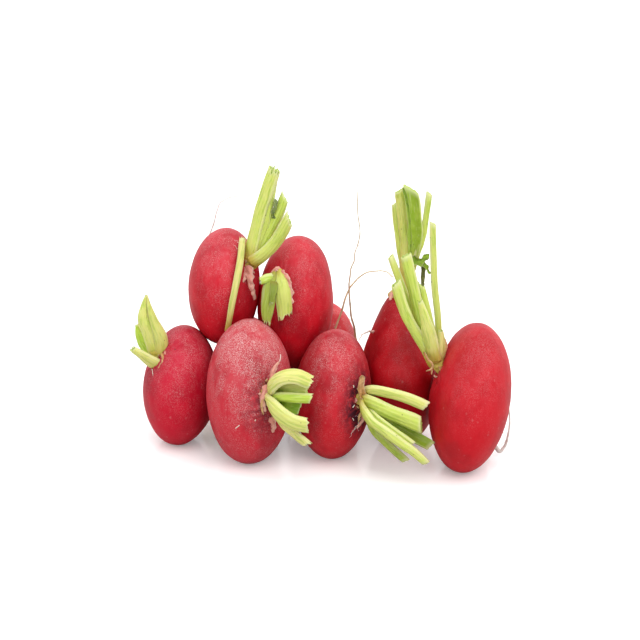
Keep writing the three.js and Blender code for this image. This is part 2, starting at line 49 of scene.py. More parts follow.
# The places follow the solids closely, in millimetres. Each radish has the middle of its globe, half its
# width, depth and height, the degrees that its top leans to the right, its crown's and root's directions in
# half sizes, how much its upper half tapers, its taproots and its stalks. A main taproot's route goes on
# from its globe, a second one's starts inside it, and the width is that at the globe and at the tip.
#
# A stalk has its route from one end to the cut one, its width and thickness, how deep its channel is, where
# the channel opens to, and how far its cut end slopes. Tone is how green it is, dry how pale and yellow,
# and the third share how far it is darkened to olive, which is painted shade for stalks that lie in shadow
# inside the bundles, each from 0 to 1. Some stalks also have the share of the route where they begin to
# narrow and the share of width left at the end (point), the share of width that they start with (neck), how
# uneven their sides are (crumpled), and how ragged their end is in millimetres.
RADISHES = {
    "left": {
        "middle": [-37.8, 15.1, 16.1],
        "half": [9.9, 13.1, 16.6],
        "lean": 6,
        "crown": [-0.72, -0.3, 0.63],
        "root": [0.86, 0.15, -0.5],
        "tails": [
            dict(route=[[-28.8, 20, 5.4], [-29, 25, 2.6], [-32, 33, 1.2]], width=(1.5, 0.3)),
        ],
        "stalks": [
            dict(route=[[-42.9, 11.6, 22.6], [-44.6, 11.3, 29.1], [-45.7, 10.6, 33.7], [-46.8, 10.2, 37.2],
                 [-46.5, 10, 40.7], [-45.9, 10, 43.7]], wide=3.7, thick=3, channel=0.5,
                 opens=(0.2, 0.95, 0.1), cut=(0, 0, 0), tone=0, dry=0.1, point=(0.5, 0.12)),
            dict(route=[[-42.3, 11.3, 23.6], [-42.2, 10.4, 30.1], [-42.9, 9.6, 33.8], [-44.1, 9.4, 37.2],
                 [-45.1, 9.5, 40.6], [-45.7, 9.8, 43.8]], wide=3.6, thick=2.8, channel=0.5,
                 opens=(-0.1, 0.95, 0.1), cut=(0, 0, 0), tone=0.3, dry=0.4, point=(0.3, 0.12)),
            dict(route=[[-44.6, 14, 24.7], [-46.7, 14.5, 27.7], [-48.3, 15.2, 30.5], [-49.1, 15.8, 33.3]],
                 wide=3.6, thick=3, channel=0.6, opens=(0.3, 0.9, 0.2), cut=(0, 0, 0), tone=0.9,
                 point=(0.45, 0.2)),
            dict(route=[[-42.4, 11, 23.2], [-45.1, 9.2, 25.6], [-47.4, 8, 27.8], [-49.6, 7.4, 29.6]],
                 wide=4.6, thick=3, channel=0.6, opens=(0.3, 0.8, 0.5), cut=(0, 0, 0), tone=0.1, dry=0.3,
                 point=(0.25, 0.42), ragged=0.3),
        ],
    },
    "front_left": {
        "middle": [-18.7, 2.7, 19.2],
        "half": [11.3, 14.8, 19.7],
        "lean": 1,
        "crown": [0.458, -0.853, 0.252],
        "root": [-0.45, 0.86, -0.23],
        "tails": [
            dict(route=[[-26, 18, 10.5], [-30.2, 22.6, 5], [-36, 31, 1.2]], width=(1.6, 0.3)),
        ],
        "stalks": [
            dict(route=[[-12.2, -8.5, 23.9], [-11.7, -12, 27.3], [-9.5, -14, 29.7], [-6.1, -14.5, 30.1],
                 [-2.7, -14, 28.5]], wide=3.9, thick=3.6, channel=0.8, opens=(0.1, 0.7, -0.7),
                 cut=(0.3, 0, 0), tone=0, dry=0.5, ragged=0.25),
            dict(route=[[-12.9, -9, 22.7], [-8.2, -13.6, 24.3], [-2.3, -14, 24.1]], wide=2.9, thick=2.7,
                 channel=0.7, opens=(0, 0.95, 0.3), cut=(0, 0, 0.3), tone=0.75, ragged=0.2),
            dict(route=[[-12.6, -8.5, 22.7], [-11.9, -12.4, 21.7], [-9.9, -14.8, 20], [-6.9, -15.4, 18.3],
                 [-3.3, -14.8, 17.2]], wide=5, thick=3.6, channel=0.8, opens=(0.2, 0.8, 0.4),
                 cut=(0, 0, -0.4), tone=0.15, dry=0.25, ragged=0.25),
            dict(route=[[-13, -8.5, 21.4], [-9.6, -12.6, 16.9], [-6.7, -13, 14], [-3.5, -12.4, 10.9]],
                 wide=2.9, thick=2.3, channel=0.8, opens=(0.3, 0.7, 0.5), cut=(0, 0, 0.6), tone=0, dry=0.6,
                 ragged=0.3),
            dict(route=[[-12.4, -8.5, 24.5], [-8, -12.4, 25.9], [-3.3, -13.6, 26]], wide=3.4,
                 thick=2.2, channel=0.6, opens=(0, -1, 0.1), cut=(0, 0, 0.2), tone=0.5, dry=0.5, olive_shade=0.15),
            dict(route=[[-12.4, -8.5, 21.4], [-9, -12.2, 21.2], [-5.2, -12.6, 20.6]], wide=3.2,
                 thick=2.2, channel=0.8, opens=(0, -1, 0.2), cut=(0, 0, 0.2), tone=1, olive_shade=0.2),
        ],
    },
    "front_middle": {
        "middle": [3.5, 5.8, 17.2],
        "half": [10.1, 13.7, 17.7],
        "lean": 3,
        "crown": [0.726, -0.668, 0.159],
        "root": [-0.77, 0.61, -0.17],
        "tails": [
            dict(route=[[-6.8, 18.5, 9.6], [-8.5, 26, 4.4], [-9, 34, 1.6], [-9, 45, 1.1]],
                 width=(1.6, 0.35)),
        ],
        "stalks": [
            dict(route=[[11.5, -2.5, 21.4], [14.1, -5, 22.9], [18.4, -7.5, 23], [23.1, -9, 22.1],
                 [27.6, -10, 20.4]], wide=3.3, thick=2.9, channel=0.7, opens=(0, 0.85, 0.5),
                 cut=(0, 0, 0.3), tone=0.1, dry=0.3),
            dict(route=[[11.5, -3, 19.4], [14.1, -6.5, 19.2], [17.9, -8.4, 18.1], [22, -10, 17],
                 [26.3, -11, 15.5]], wide=4.8, thick=3.4, channel=0.7, opens=(0.1, 0.9, 0.3),
                 cut=(0, 0, -0.4), tone=0.45),
            dict(route=[[11.8, -3.5, 19.6], [11.9, -8, 18.2], [13.7, -10.5, 16.2], [17.2, -12.4, 14.1],
                 [21.1, -13.4, 11.5], [24.3, -14, 9.3], [27.5, -14, 6.2]], wide=3.1, thick=2.9,
                 channel=0.7, opens=(0.4, 0.8, 0.5), cut=(0, 0, 0.5), tone=0.3, dry=0.1,
                 point=(0.75, 0.7)),
            dict(route=[[12.1, -3.5, 18.2], [13.9, -6.5, 12.7], [17.2, -8.4, 9.6], [22.5, -9.5, 4.9]],
                 wide=2.6, thick=2.4, channel=0.9, opens=(0.4, 0.7, 0.6), cut=(0, 0, 0.5), tone=0.7,
                 olive_shade=0.3),
            dict(route=[[12.3, -3.5, 18.8], [17, -5.5, 14.4], [22.4, -8, 12.2], [29, -9.6, 8.9]],
                 wide=3.1, thick=2.6, channel=1.2, opens=(0.3, -0.7, 0.7), cut=(0, 0, 0.5), tone=1,
                 olive_shade=0.35),
            dict(route=[[12, -4, 19], [14.6, -8.5, 16.9], [18.2, -10.6, 14.7], [24.1, -12.2, 10.7]],
                 wide=2, thick=2, channel=0.7, opens=(0.4, 0.7, 0.5), cut=(0, 0, 0.3), tone=0.3),
        ],
    },
    "right": {
        "middle": [39.2, -3, 19.7],
        "half": [10.4, 16.3, 20.1],
        "lean": 7,
        "crown": [-0.905, 0, 0.426],
        "root": [0.58, 0.37, -0.71],
        "tails": [
            dict(route=[[46.8, 4, 3], [48.3, 4.2, 2.1], [49.6, 4.2, 3], [50.3, 4.2, 6], [50.5, 4.2, 10],
                 [50.3, 4.2, 14.2]], width=(2, 0.4)),
        ],
        "stalks": [
            dict(route=[[29.8, -2.6, 28.9], [27.2, -3.8, 34.6], [23.9, -4.6, 40.2], [21.4, -5, 45.9],
                 [19.4, -5, 52.4]], wide=3, thick=2.9, channel=0.8, opens=(0.5, 0.9, 0.2),
                 cut=(0.6, 0, 0), tone=0.35),
            dict(route=[[29.2, -2, 30.5], [26.9, -1.4, 35.9], [24.1, -0.6, 41.4], [22.2, 0.4, 46.8],
                 [18.2, 2, 57.2]], wide=1.9, thick=2.2, channel=0.8, opens=(0.2, 1, 0),
                 cut=(0.5, 0, 0), tone=0.2),
            dict(route=[[29.6, -2.6, 30.5], [27.2, -3, 37.6], [25.3, -3, 44.5], [23.6, -2.6, 52],
                 [22, -2.2, 58.9]], wide=3.2, thick=2.8, channel=0.8, opens=(0.4, 0.9, 0),
                 cut=(0.3, 0, 0), tone=0.5),
            dict(route=[[30.2, -2.4, 31], [28.9, -2, 37.8], [27.4, -1.6, 44], [25.9, -1.2, 50.7]],
                 wide=2.3, thick=2.2, channel=0.8, opens=(0.1, 1, 0), cut=(-1.2, 0, 0), tone=0.4, ragged=0.3),
            dict(route=[[30.8, -2, 31.1], [30.6, -1.4, 39.8], [29.5, -0.8, 49.7], [29, 0.2, 59.4],
                 [28.8, 1, 66.5]], wide=1.8, thick=2, channel=0.8, opens=(-0.7, 0.8, 0),
                 cut=(-0.6, 0, 0), tone=0.45, dry=0.25, olive_shade=0.08),
            dict(route=[[29.7, -4, 30.8], [28.4, -6, 37.6], [27, -7, 43.2], [25.6, -7.6, 48.3]],
                 wide=3.5, thick=2.6, channel=0.8, opens=(0.3, 0.9, 0.3), cut=(0.4, 0, 0), tone=0.1, dry=0.15,
                 point=(0.5, 0.35)),
            dict(route=[[30.4, -3.4, 30.2], [31.1, -4.6, 34.9], [31.1, -5.2, 39.5]], wide=3.4, thick=2.4,
                 channel=0.8, opens=(-0.2, 0.9, 0), cut=(0, 0, 0), tone=0.1, dry=0.8, point=(0.35, 0.35),
                 ragged=0.3),
        ],
    },
    "upper_left": {
        "middle": [-25.8, 21.3, 42.3],
        "half": [9.5, 12.9, 15.8],
        "lean": 3,
        "crown": [0.721, -0.418, 0.552],
        "root": [-0.6, 0.8, 0],
        "tails": [
            dict(route=[[-32, 34.6, 46], [-29.6, 36, 54], [-28.2, 36, 58.5], [-26.4, 36, 61.9],
                 [-21.2, 36, 63.4]], width=(0.9, 0.22)),
        ],
        "stalks": [
            dict(route=[[-18.8, 16, 50.9], [-16.9, 15.6, 59.4], [-14.5, 15, 68.4], [-11.7, 14.2, 76.9]],
                 wide=4, thick=3.4, channel=0.75, opens=(0.75, 0.65, 0), cut=(0.12, 0, 0), tone=0.2,
                 ragged=0.8),
            dict(route=[[-18.3, 15.6, 51.6], [-15.2, 15.2, 59.5], [-13.3, 14.8, 66.8], [-11.6, 14.4, 74.5]],
                 wide=2.7, thick=2.4, channel=0.6, opens=(0.5, 0.9, 0), cut=(-0.6, 0, 0), tone=0.6,
                 dry=0.15, ragged=0.5, point=(0.5, 0.5)),
            dict(route=[[-18, 15.5, 51.6], [-14.2, 15.2, 58.4], [-11.3, 15, 64], [-9.2, 15, 69.2]],
                 wide=2.9, thick=2.6, channel=0.8, opens=(0.3, 0.9, 0), cut=(-0.9, 0, 0), tone=0.5),
            dict(route=[[-18, 14.8, 51.3], [-14.8, 13.6, 53.9], [-11.3, 12.4, 58.3], [-8, 11.5, 64.3]],
                 wide=3.3, thick=2.9, channel=0.8, opens=(0.1, 0.9, 0.3), cut=(-1.1, 0, 0), tone=0.4,
                 dry=0.15, ragged=0.2),
            dict(route=[[-24.5, 8.4, 34.2], [-23.3, 7, 41.4], [-21.6, 9.6, 49.5], [-20.9, 12.8, 53.4],
                 [-20.5, 16.4, 57.2]], wide=1.8, thick=1.4, channel=0.6, opens=(0, 1, 0.2), cut=(0, 0, 0),
                 tone=0, dry=0.75, olive_shade=0.12, ragged=0.3, neck=0.72),
        ],
    },
    "upper_middle": {
        "middle": [-6.7, 22.7, 36.9],
        "half": [10.1, 13.8, 18.7],
        "lean": 4,
        "crown": [-0.473, -0.757, 0.453],
        "root": [0.3, 0.94, -0.1],
        "tails": [
            dict(route=[[-3, 40, 35], [-2.2, 46, 31], [-1.5, 50, 23]], width=(1.5, 0.3)),
        ],
        "stalks": [
            dict(route=[[-11.2, 10.6, 50.4], [-12.9, 8.4, 47.5], [-13.6, 6.6, 44.2], [-14, 5.4, 40.7],
                 [-14.1, 4.8, 38.1]], wide=3.8, thick=3.2, channel=0.8, opens=(0.1, 0.9, 0.2),
                 cut=(0.4, 0, 0), tone=0.7, olive_shade=0.5, ragged=0.5, crumpled=0.16, point=(0.6, 0.5),
                 neck=0.45),
            dict(route=[[-10.8, 10.2, 50.6], [-10.1, 8.2, 48.6], [-9.6, 7, 45.3], [-9.3, 6.6, 42.2],
                 [-9.1, 6.2, 39.5]], wide=4, thick=3.2, channel=0.8, opens=(-0.1, 0.9, 0.2),
                 cut=(-0.4, 0, 0), tone=0.35, dry=0.2, olive_shade=0.1, ragged=0.6, crumpled=0.16, neck=0.4),
            dict(route=[[-11.9, 7.4, 48.4], [-12.2, 5.1, 46.2], [-12.7, 3.9, 43.6]], wide=1.9, thick=1.5,
                 channel=0.9, opens=(0, -1, 0.1), cut=(0, 0, 0.3), tone=1, olive_shade=0.75, ragged=0.5,
                 crumpled=0.25, point=(0.4, 0.6)),
            dict(route=[[-11.9, 10.6, 48.6], [-13.9, 9, 48.7], [-15.7, 8.4, 48.2]], wide=2.6, thick=2.6,
                 channel=0.3, opens=(0, 0.9, 0.4), cut=(0, 0, 0), tone=0.7, point=(0.5, 0.7)),
        ],
    },
    "behind_right": {
        "middle": [21.8, 18.1, 20.7],
        "half": [10.5, 16.8, 21.2],
        "lean": -5,
        "crown": [0.1, 0, 0.995],
        "root": [0.15, 0.6, -0.78],
        "taper": 0.72,
        "tails": [
            dict(route=[[23.6, 31, 2.2], [24.6, 36, 1.2], [23, 44, 1.1]], width=(1.6, 0.35)),
            dict(route=[[15.6, 17, 30.9], [13.8, 14, 32], [12.2, 9, 33.6], [10.9, 6, 33.8], [10.4, 4, 33.3]],
                 width=(0.8, 0.3)),
        ],
        "stalks": [
            dict(route=[[22.2, 18, 42], [22.3, 18.3, 48.5], [21.4, 18.8, 53.6], [20.5, 19.8, 59.7],
                 [19.9, 21, 65.7]], wide=2, thick=2.2, channel=0.9, opens=(0.2, 1, 0), cut=(0.5, 0, 0),
                 tone=0.3),
            dict(route=[[22.4, 18, 42], [22.8, 18, 53.9], [22.1, 18, 60.3], [21.4, 18, 66.6],
                 [20.9, 18, 70.2]], wide=2.8, thick=2.6, channel=0.8, opens=(0.1, 0.9, 0),
                 cut=(0.5, 0, 0), tone=0.15, dry=0.1),
            dict(route=[[22.8, 17.6, 42], [24.8, 16.4, 54.1], [25, 16, 58.4], [24.9, 15.6, 62.7],
                 [23.7, 15, 71.3]], wide=4, thick=3, channel=1.1, opens=(-0.2, -1, 0),
                 cut=(-0.8, 0, 0), tone=0.7, neck=0.5),
            dict(route=[[22.9, 17.6, 42], [25.7, 17, 53.1], [26.7, 17, 56.4], [27.5, 17.2, 60.5],
                 [28.6, 17.6, 69.6]], wide=1.7, thick=2.2, channel=0.8, opens=(-0.7, 0.6, 0),
                 cut=(-0.6, 0, 0), tone=0.45),
        ],
    },
    "behind_middle": {
        "middle": [1.1, 37, 15.6],
        "half": [9.5, 12.7, 16.1],
        "lean": 0,
        "crown": [-0.3, 0.9, 0.3],
        "root": [0.75, -0.6, 0.3],
        "tails": [
            dict(route=[[9.8, 28, 25], [8.6, 27, 32], [7.9, 27, 38.9], [8.4, 28, 44.4], [9.6, 29, 49],
                 [10.6, 30, 54], [10.1, 30, 66]], width=(0.85, 0.26)),
        ],
        "stalks": [
            dict(route=[[0.4, 47.6, 19.8], [-2.6, 52, 22.4], [-6.4, 56.6, 23.6]], wide=3.4, thick=3,
                 channel=1.2, opens=(0.5, 0, 0.9), cut=(0.5, 0, 0.3), tone=0.5),
            dict(route=[[0.6, 47.6, 20], [0.6, 52.6, 23.4], [-0.4, 57.4, 27.6]], wide=3.2, thick=2.8,
                 channel=1.3, opens=(0, -0.6, 0.8), cut=(0, 0, 0.6), tone=0.6),
            dict(route=[[0.8, 47.6, 19.6], [4, 52.6, 20.4], [8, 56.4, 20]], wide=3.2, thick=2.8,
                 channel=1.1, opens=(-0.4, 0, 0.9), cut=(-0.6, 0, 0), tone=0.4),
            dict(route=[[0.6, 47.6, 19], [0.6, 52.4, 15.6], [-1.4, 57.6, 11.6]], wide=3, thick=2.6,
                 channel=1.2, opens=(0, 0.5, 0.8), cut=(0, 0, -0.5), tone=0.5),
            dict(route=[[0.2, 47.6, 19.9], [-2, 52.6, 23.6], [-4, 55.8, 26.6]], wide=2.8, thick=2.4,
                 channel=1.1, opens=(0.4, -0.5, 0.8), cut=(0.4, 0, 0.3), tone=0.2, dry=0.2, ragged=0.2),
            dict(route=[[0.9, 47.6, 19.2], [3.4, 52.2, 17.6], [5, 56.2, 14.6]], wide=2.6, thick=2.4,
                 channel=1, opens=(-0.4, 0.3, 0.8), cut=(-0.4, 0, 0), tone=0.1, dry=0.3, ragged=0.2),
        ],
    },
    "back_left": {
        "middle": [-20.1, 29.7, 14.8],
        "half": [8.6, 12.1, 15.3],
        "lean": 0,
        "crown": [-0.85, 0.5, 0.1],
        "root": [0.9, -0.1, 0.3],
        "tails": [
            dict(route=[[-9.6, 27, 16.4], [-5.6, 24.4, 13.4], [0, 22, 16], [3.5, 21.5, 28],
                 [5.9, 20, 36], [7.5, 19, 41.5], [8.8, 18.5, 44], [11.5, 18, 46.7], [14.6, 17, 48.1],
                 [17.3, 15.8, 48.3], [19.3, 13.6, 47.6]], width=(1.05, 0.28)),
        ],
        "stalks": [
            dict(route=[[-27.2, 35.3, 15.8], [-30.4, 40.2, 13.4], [-33, 46.2, 11.6]], wide=3.2, thick=2.8,
                 channel=1.2, opens=(0.6, 0, 0.8), cut=(0.5, 0, 0.4), tone=0.5),
            dict(route=[[-27.2, 35.3, 16], [-32.6, 38.2, 15.4], [-38.2, 41.4, 13.6]], wide=3.4,
                 thick=2.8, channel=1.2, opens=(0, 0.2, 1), cut=(0, 0, 0.5), tone=0.4),
            dict(route=[[-27, 35.7, 15.6], [-29.6, 40.6, 12.6], [-32.6, 46.6, 8.6]], wide=3.2, thick=2.6,
                 channel=1.3, opens=(-0.3, 0.3, 0.8), cut=(0, 0, -0.5), tone=0.6),
        ],
    },
}

# The skin of each radish: its deep and middle colours, the colour of its pale bloom, which also serves as its
# painted highlight, how much bloom lies everywhere and how much where it faces the light (the painted
# highlight), how strong its pale grain is, which is also painted brighter as glints on the side facing the
# light, how much soil clings round the crown, and the colours of its taproot where it leaves the globe and
# at its tip.
SKINS = {
    "left": dict(deep="c20426", middle="da0a2e", pale_bloom_and_highlight="d05c74", bloom_and_highlight_shares=(0.0, 0.27), grain_and_glint=0.36,
                 soil=0.8, root="d98a80", tip="e6d3bd"),
    "front_left": dict(deep="c00d26", middle="de1630", pale_bloom_and_highlight="d87a80", bloom_and_highlight_shares=(0.1, 0.54), grain_and_glint=1.1,
                       soil=0.75, root="d98a80", tip="e6d3bd"),
    "front_middle": dict(deep="b80c1e", middle="de1628", pale_bloom_and_highlight="d06874", bloom_and_highlight_shares=(0.02, 0.36), grain_and_glint=0.5,
                         soil=1.4, root="d98a80", tip="e6d3bd"),
    "right": dict(deep="c60a1c", middle="dc1022", pale_bloom_and_highlight="dc6872", bloom_and_highlight_shares=(0.0, 0.26), grain_and_glint=0.16,
                  soil=0.2, root="a82c22", tip="f6f0ea"),
    "upper_left": dict(deep="c40a20", middle="e4122a", pale_bloom_and_highlight="da6874", bloom_and_highlight_shares=(0.01, 0.42), grain_and_glint=0.34,
                       soil=0.2, root="f2e6dc", tip="f8f2ec"),
    "upper_middle": dict(deep="c00a20", middle="e41229", pale_bloom_and_highlight="d86470", bloom_and_highlight_shares=(0.0, 0.34), grain_and_glint=0.28,
                         soil=0.3, root="d98a80", tip="e6d3bd"),
    "behind_right": dict(deep="ae0212", middle="cc0418", pale_bloom_and_highlight="c85060", bloom_and_highlight_shares=(0.0, 0.1), grain_and_glint=0.12,
                         soil=0.2, root="e8a898", tip="fff0e6"),
    "behind_middle": dict(deep="d02430", middle="ee303a", pale_bloom_and_highlight="e07c7a", bloom_and_highlight_shares=(0.02, 0.16), grain_and_glint=0.5,
                          soil=0.2, root="ffd484", tip="dccfae"),
    "back_left": dict(deep="c00c22", middle="e0142c", pale_bloom_and_highlight="d86878", bloom_and_highlight_shares=(0.08, 0.4), grain_and_glint=0.4,
                      soil=0.4, root="ffc488", tip="e6d4a8"),
}


# Arithmetic on whole arrays of points

def unit(vectors):
    """Each vector divided by its own length."""
    vectors = np.asarray(vectors, float)
    return vectors / np.linalg.norm(vectors, axis=-1, keepdims=True)


def smooth(share):
    """A soft step: 3 s squared less 2 s cubed, with s held between 0 and 1."""
    share = np.clip(share, 0, 1)
    return share * share * (3 - 2 * share)


def waves(points, size, seed, count=14):
    """Gentle noise of about -1 to 1: sine waves about `size` apart, in seeded directions, added up."""
    draw = np.random.default_rng(seed)
    points = np.asarray(points, float)
    directions = unit(draw.normal(size=(count, points.shape[-1])))
    pitches = 2 * math.pi / (size * draw.uniform(0.65, 1.5, count))
    phases = draw.uniform(0, 2 * math.pi, count)
    return np.sin(points @ (directions * pitches[:, None]).T + phases).sum(-1) / math.sqrt(count)


def on_route(route, shares):
    """Points and directions on a smooth curve through the route's points, equal shares between them. It is
    the cubic whose slope at each point is half the step from the point before to the one after."""
    route = np.asarray(route, float)
    points = np.vstack([2 * route[0] - route[1], route, 2 * route[-1] - route[-2]])
    reach = np.clip(shares, 0, 1) * (len(route) - 1)
    start = np.minimum(reach.astype(int), len(route) - 2)
    t = (reach - start)[:, None]
    before, here, there, after = (points[start + k] for k in range(4))
    bend = 2 * before - 5 * here + 4 * there - after
    twist = 3 * here - before - 3 * there + after
    middle = here + 0.5 * ((there - before) * t + bend * t**2 + twist * t**3)
    slope = 0.5 * ((there - before) + 2 * bend * t + 3 * twist * t**2)
    return middle, unit(slope)


def route_length(route):
    """The length of the smooth curve through a route, as the sum of short chords."""
    middle, _ = on_route(route, np.linspace(0, 1, 80))
    return np.linalg.norm(np.diff(middle, axis=0), axis=1).sum()


def frames_along(along, opens):
    """The across and up directions at each place: across = along x opens, up = across x along."""
    across = unit(np.cross(along, opens))
    return across, np.cross(across, along)


def turned(vectors, axis, angles):
    """Vectors turned about one axis: v cos a + (axis x v) sin a + axis (axis . v)(1 - cos a)."""
    cosine = np.cos(angles)[..., None]
    sine = np.sin(angles)[..., None]
    kept = (vectors @ axis)[..., None] * axis
    return vectors * cosine + np.cross(axis, vectors) * sine + kept * (1 - cosine)


# Turning grids of points into meshes

def grid_triangles(stations, sides):
    """Triangles of a closed tube of rings. Each end ring is closed by pairing its points across, so that
    the end is one strip from side to side."""
    ring = np.arange(stations - 1)[:, None] * sides
    side = np.arange(sides)[None]
    following = (side + 1) % sides
    a, b = ring + side, ring + following
    c, d = b + sides, a + sides
    walls = [np.stack([a, b, c], -1).reshape(-1, 3), np.stack([a, c, d], -1).reshape(-1, 3)]
    pair = np.arange(sides // 2)
    lower = (sides // 4 - pair) % sides
    lower_next = (lower - 1) % sides
    upper = sides // 4 + pair
    upper_next = (upper + 1) % sides
    first = np.stack([lower, lower_next, upper_next], -1)[:-1]
    second = np.stack([lower, upper_next, upper], -1)[1:]
    near = np.vstack([first, second])
    far = near[:, ::-1] + (stations - 1) * sides
    return np.vstack([*walls, near, far])


def signed_volume(points, triangles):
    """Six times the volume inside a closed skin, negative where its faces point inwards."""
    a, b, c = (points[triangles[:, k]] for k in range(3))
    return np.einsum("ij,ij->", a, np.cross(b, c))


def add_piece(name, patches, material):
    """Joins closed grids into one mesh, in metres round the middle of the pile. A patch is its rings and
    the values that its material reads at each point, by name."""
    points, triangles, count = [], [], 0
    values = {}
    for rings, marks in patches:
        stations, sides = rings.shape[:2]
        flat = rings.reshape(-1, 3)
        faces = grid_triangles(stations, sides)
        if signed_volume(flat - flat.mean(0), faces) < 0:
            faces = faces[:, ::-1]
        points.append(flat)
        triangles.append(faces + count)
        count += len(flat)
        for mark, value in marks.items():
            wide = np.broadcast_to(value, (stations, sides, 3))
            values.setdefault(mark, []).append(wide.reshape(-1, 3))
    places = (np.vstack(points) - PILE_MIDDLE) * METRE
    mesh = bpy.data.meshes.new(name)
    mesh.from_pydata(places, [], np.vstack(triangles))
    for mark, parts in values.items():
        attribute = mesh.attributes.new(mark, "FLOAT_VECTOR", "POINT")
        attribute.data.foreach_set("vector", np.vstack(parts).astype(np.float32).ravel())
    mesh.shade_smooth()
    mesh.materials.append(material)
    piece = bpy.data.objects.new(name, mesh)
    bpy.context.collection.objects.link(piece)
    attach(piece, "root")
    return piece


# The radish itself

CROWN_HOLLOW = 0.06  # how deep the hollow at the crown is, as a share of the half size
CROWN_SPREAD = 0.45  # how wide it is, in radians
ROOT_RISE = 0.12  # how high the skin rises at the root, as a share of the half size
ROOT_SPREAD = 0.16  # how wide that rise is, in radians
TAPER_SPREAD = 0.25  # how softly a tapered upper half begins
SKIN_GROWTH = 0.25  # how far the skin lies outside the table's sizes, before its dents
GLOBE_COLUMNS = 96
FIRST_RING = 0.6  # degrees from the crown
CROWN_CAP = 14  # degrees from the crown where the closest rings end
NECK_CAP = 158  # degrees from the crown where the rings grow close again
NECK = math.radians(172)  # how far from the crown the globe gives way to its taproot
CAP_RINGS = 16
WALL_RINGS = 92
NECK_RINGS = 14
DENTS = ((0.09, 15), (0.03, 5.5))  # the depth of broad and small dents, and how far apart they lie
CREASE_DEPTH = 0.012
CREASE_SIZE = 1.6
CROWN_RIDGES = 9
RIDGE_HEIGHT = 0.16
RIDGE_SPREAD = 0.42  # how far the ridges run from the crown, in radians
TAIL_STEPS = 90
TAIL_CROWDING = 1.25  # how much closer a taproot's rings stand near the globe
TAIL_THINNING = 1.7  # how early its cord grows thin
TAIL_BEND = 0.16  # how far it wanders from its route
TAIL_KNOTS = 0.1  # how much its knots add to its radius, as a share
LOOSE_FROM = 4.0  # how far from the globe it begins to wander
LOOSE_OVER = 6.0  # the length over which it comes to wander fully
TAIL_OPENS = (0.31, 0.17, 0.29)  # a direction that no taproot runs along
STRAIGHT_OUT = 2.2  # how far a taproot first runs straight out of the globe
NECK_FADE = 1.5  # the length over which the neck draws in to the cord
ROUND_BY = 2.6  # the length over which its outline becomes a circle
LIES_BELOW = 4.0  # a taproot lower than this comes to lie on the table


def on_globe(radish, directions, grow=0.0):
    """Where directions from the globe's middle meet its skin: the half sizes, less a hollow that falls off
    from the crown as a bell curve, plus a rise that falls off steeply from the root, with the upper half
    narrowed by the globe's own taper, and then leaned over."""
    crown, root = unit(radish["crown"]), unit(radish["root"])
    from_crown = np.arccos(np.clip(directions @ crown, -1, 1))
    from_root = np.arccos(np.clip(directions @ root, -1, 1))
    hollow = CROWN_HOLLOW * np.exp(-((from_crown / CROWN_SPREAD) ** 2))
    rise = ROOT_RISE * np.exp(-from_root / ROOT_SPREAD)
    above = np.maximum(0, directions[..., 2])
    narrow = 1 - radish.get("taper", 0) * above**2 / (above + TAPER_SPREAD)
    point = (np.array(radish["half"]) + grow) * directions
    point[..., :2] *= narrow[..., None]
    point *= (1 - hollow + rise)[..., None]
    lean = np.full(point.shape[:-1], math.radians(radish["lean"]))
    return turned(point, np.array([0.0, 1.0, 0.0]), lean) + radish["middle"]


def globe_rings(radish, seed):
    """Rings from crown to neck, with the marks that the skin's material reads: the cosine and sine of the
    turn, and the share of the way from crown to root. The rings' axis turns softly from the crown's to the
    root's, and the skin is drawn in by low dents, by fine creases, and by ridges that run out from the
    crown."""
    crown, root = unit(radish["crown"]), unit(radish["root"])
    hinge = unit(np.cross(-crown, root))
    bend = math.acos(np.clip(-crown @ root, -1, 1))
    side = unit(np.cross(crown, hinge))
    across = np.cross(side, crown)
    latitude = np.concatenate([
        np.linspace(FIRST_RING, CROWN_CAP, CAP_RINGS),
        np.linspace(CROWN_CAP, NECK_CAP, WALL_RINGS)[1:],
        np.linspace(NECK_CAP, math.degrees(NECK), NECK_RINGS)[1:],
    ])[:, None] * math.pi / 180
    longitude = np.arange(GLOBE_COLUMNS)[None] * 2 * math.pi / GLOBE_COLUMNS
    flat = np.cos(longitude)[..., None] * side + np.sin(longitude)[..., None] * across
    directions = np.cos(latitude)[..., None] * crown + np.sin(latitude)[..., None] * flat
    turn = bend * smooth(latitude / math.pi) * np.ones_like(longitude)
    directions = turned(directions, hinge, turn)
    rings = on_globe(radish, directions, SKIN_GROWTH)
    inward = unit(radish["middle"] - rings)
    dents = sum(depth * (1 + waves(rings, size, seed + k)) for k, (depth, size) in enumerate(DENTS))
    creases = CREASE_DEPTH * waves(rings * [1, 1, 0.5], CREASE_SIZE, seed + 2)
    round_crown = np.exp(-((latitude / RIDGE_SPREAD) ** 2))
    folds = np.sin(CROWN_RIDGES * longitude + 3 * waves(rings, 7, seed + 3))
    ridges = RIDGE_HEIGHT * round_crown * (1 + folds)
    rings = rings + inward * np.maximum(0, dents + creases + ridges)[..., None]
    rings[..., 2] = np.maximum(rings[..., 2], 0)
    turns = np.broadcast_to(longitude, rings.shape[:2])
    skin = np.stack([np.cos(turns), np.sin(turns), np.broadcast_to(latitude / math.pi, turns.shape)], -1)
    return rings, skin


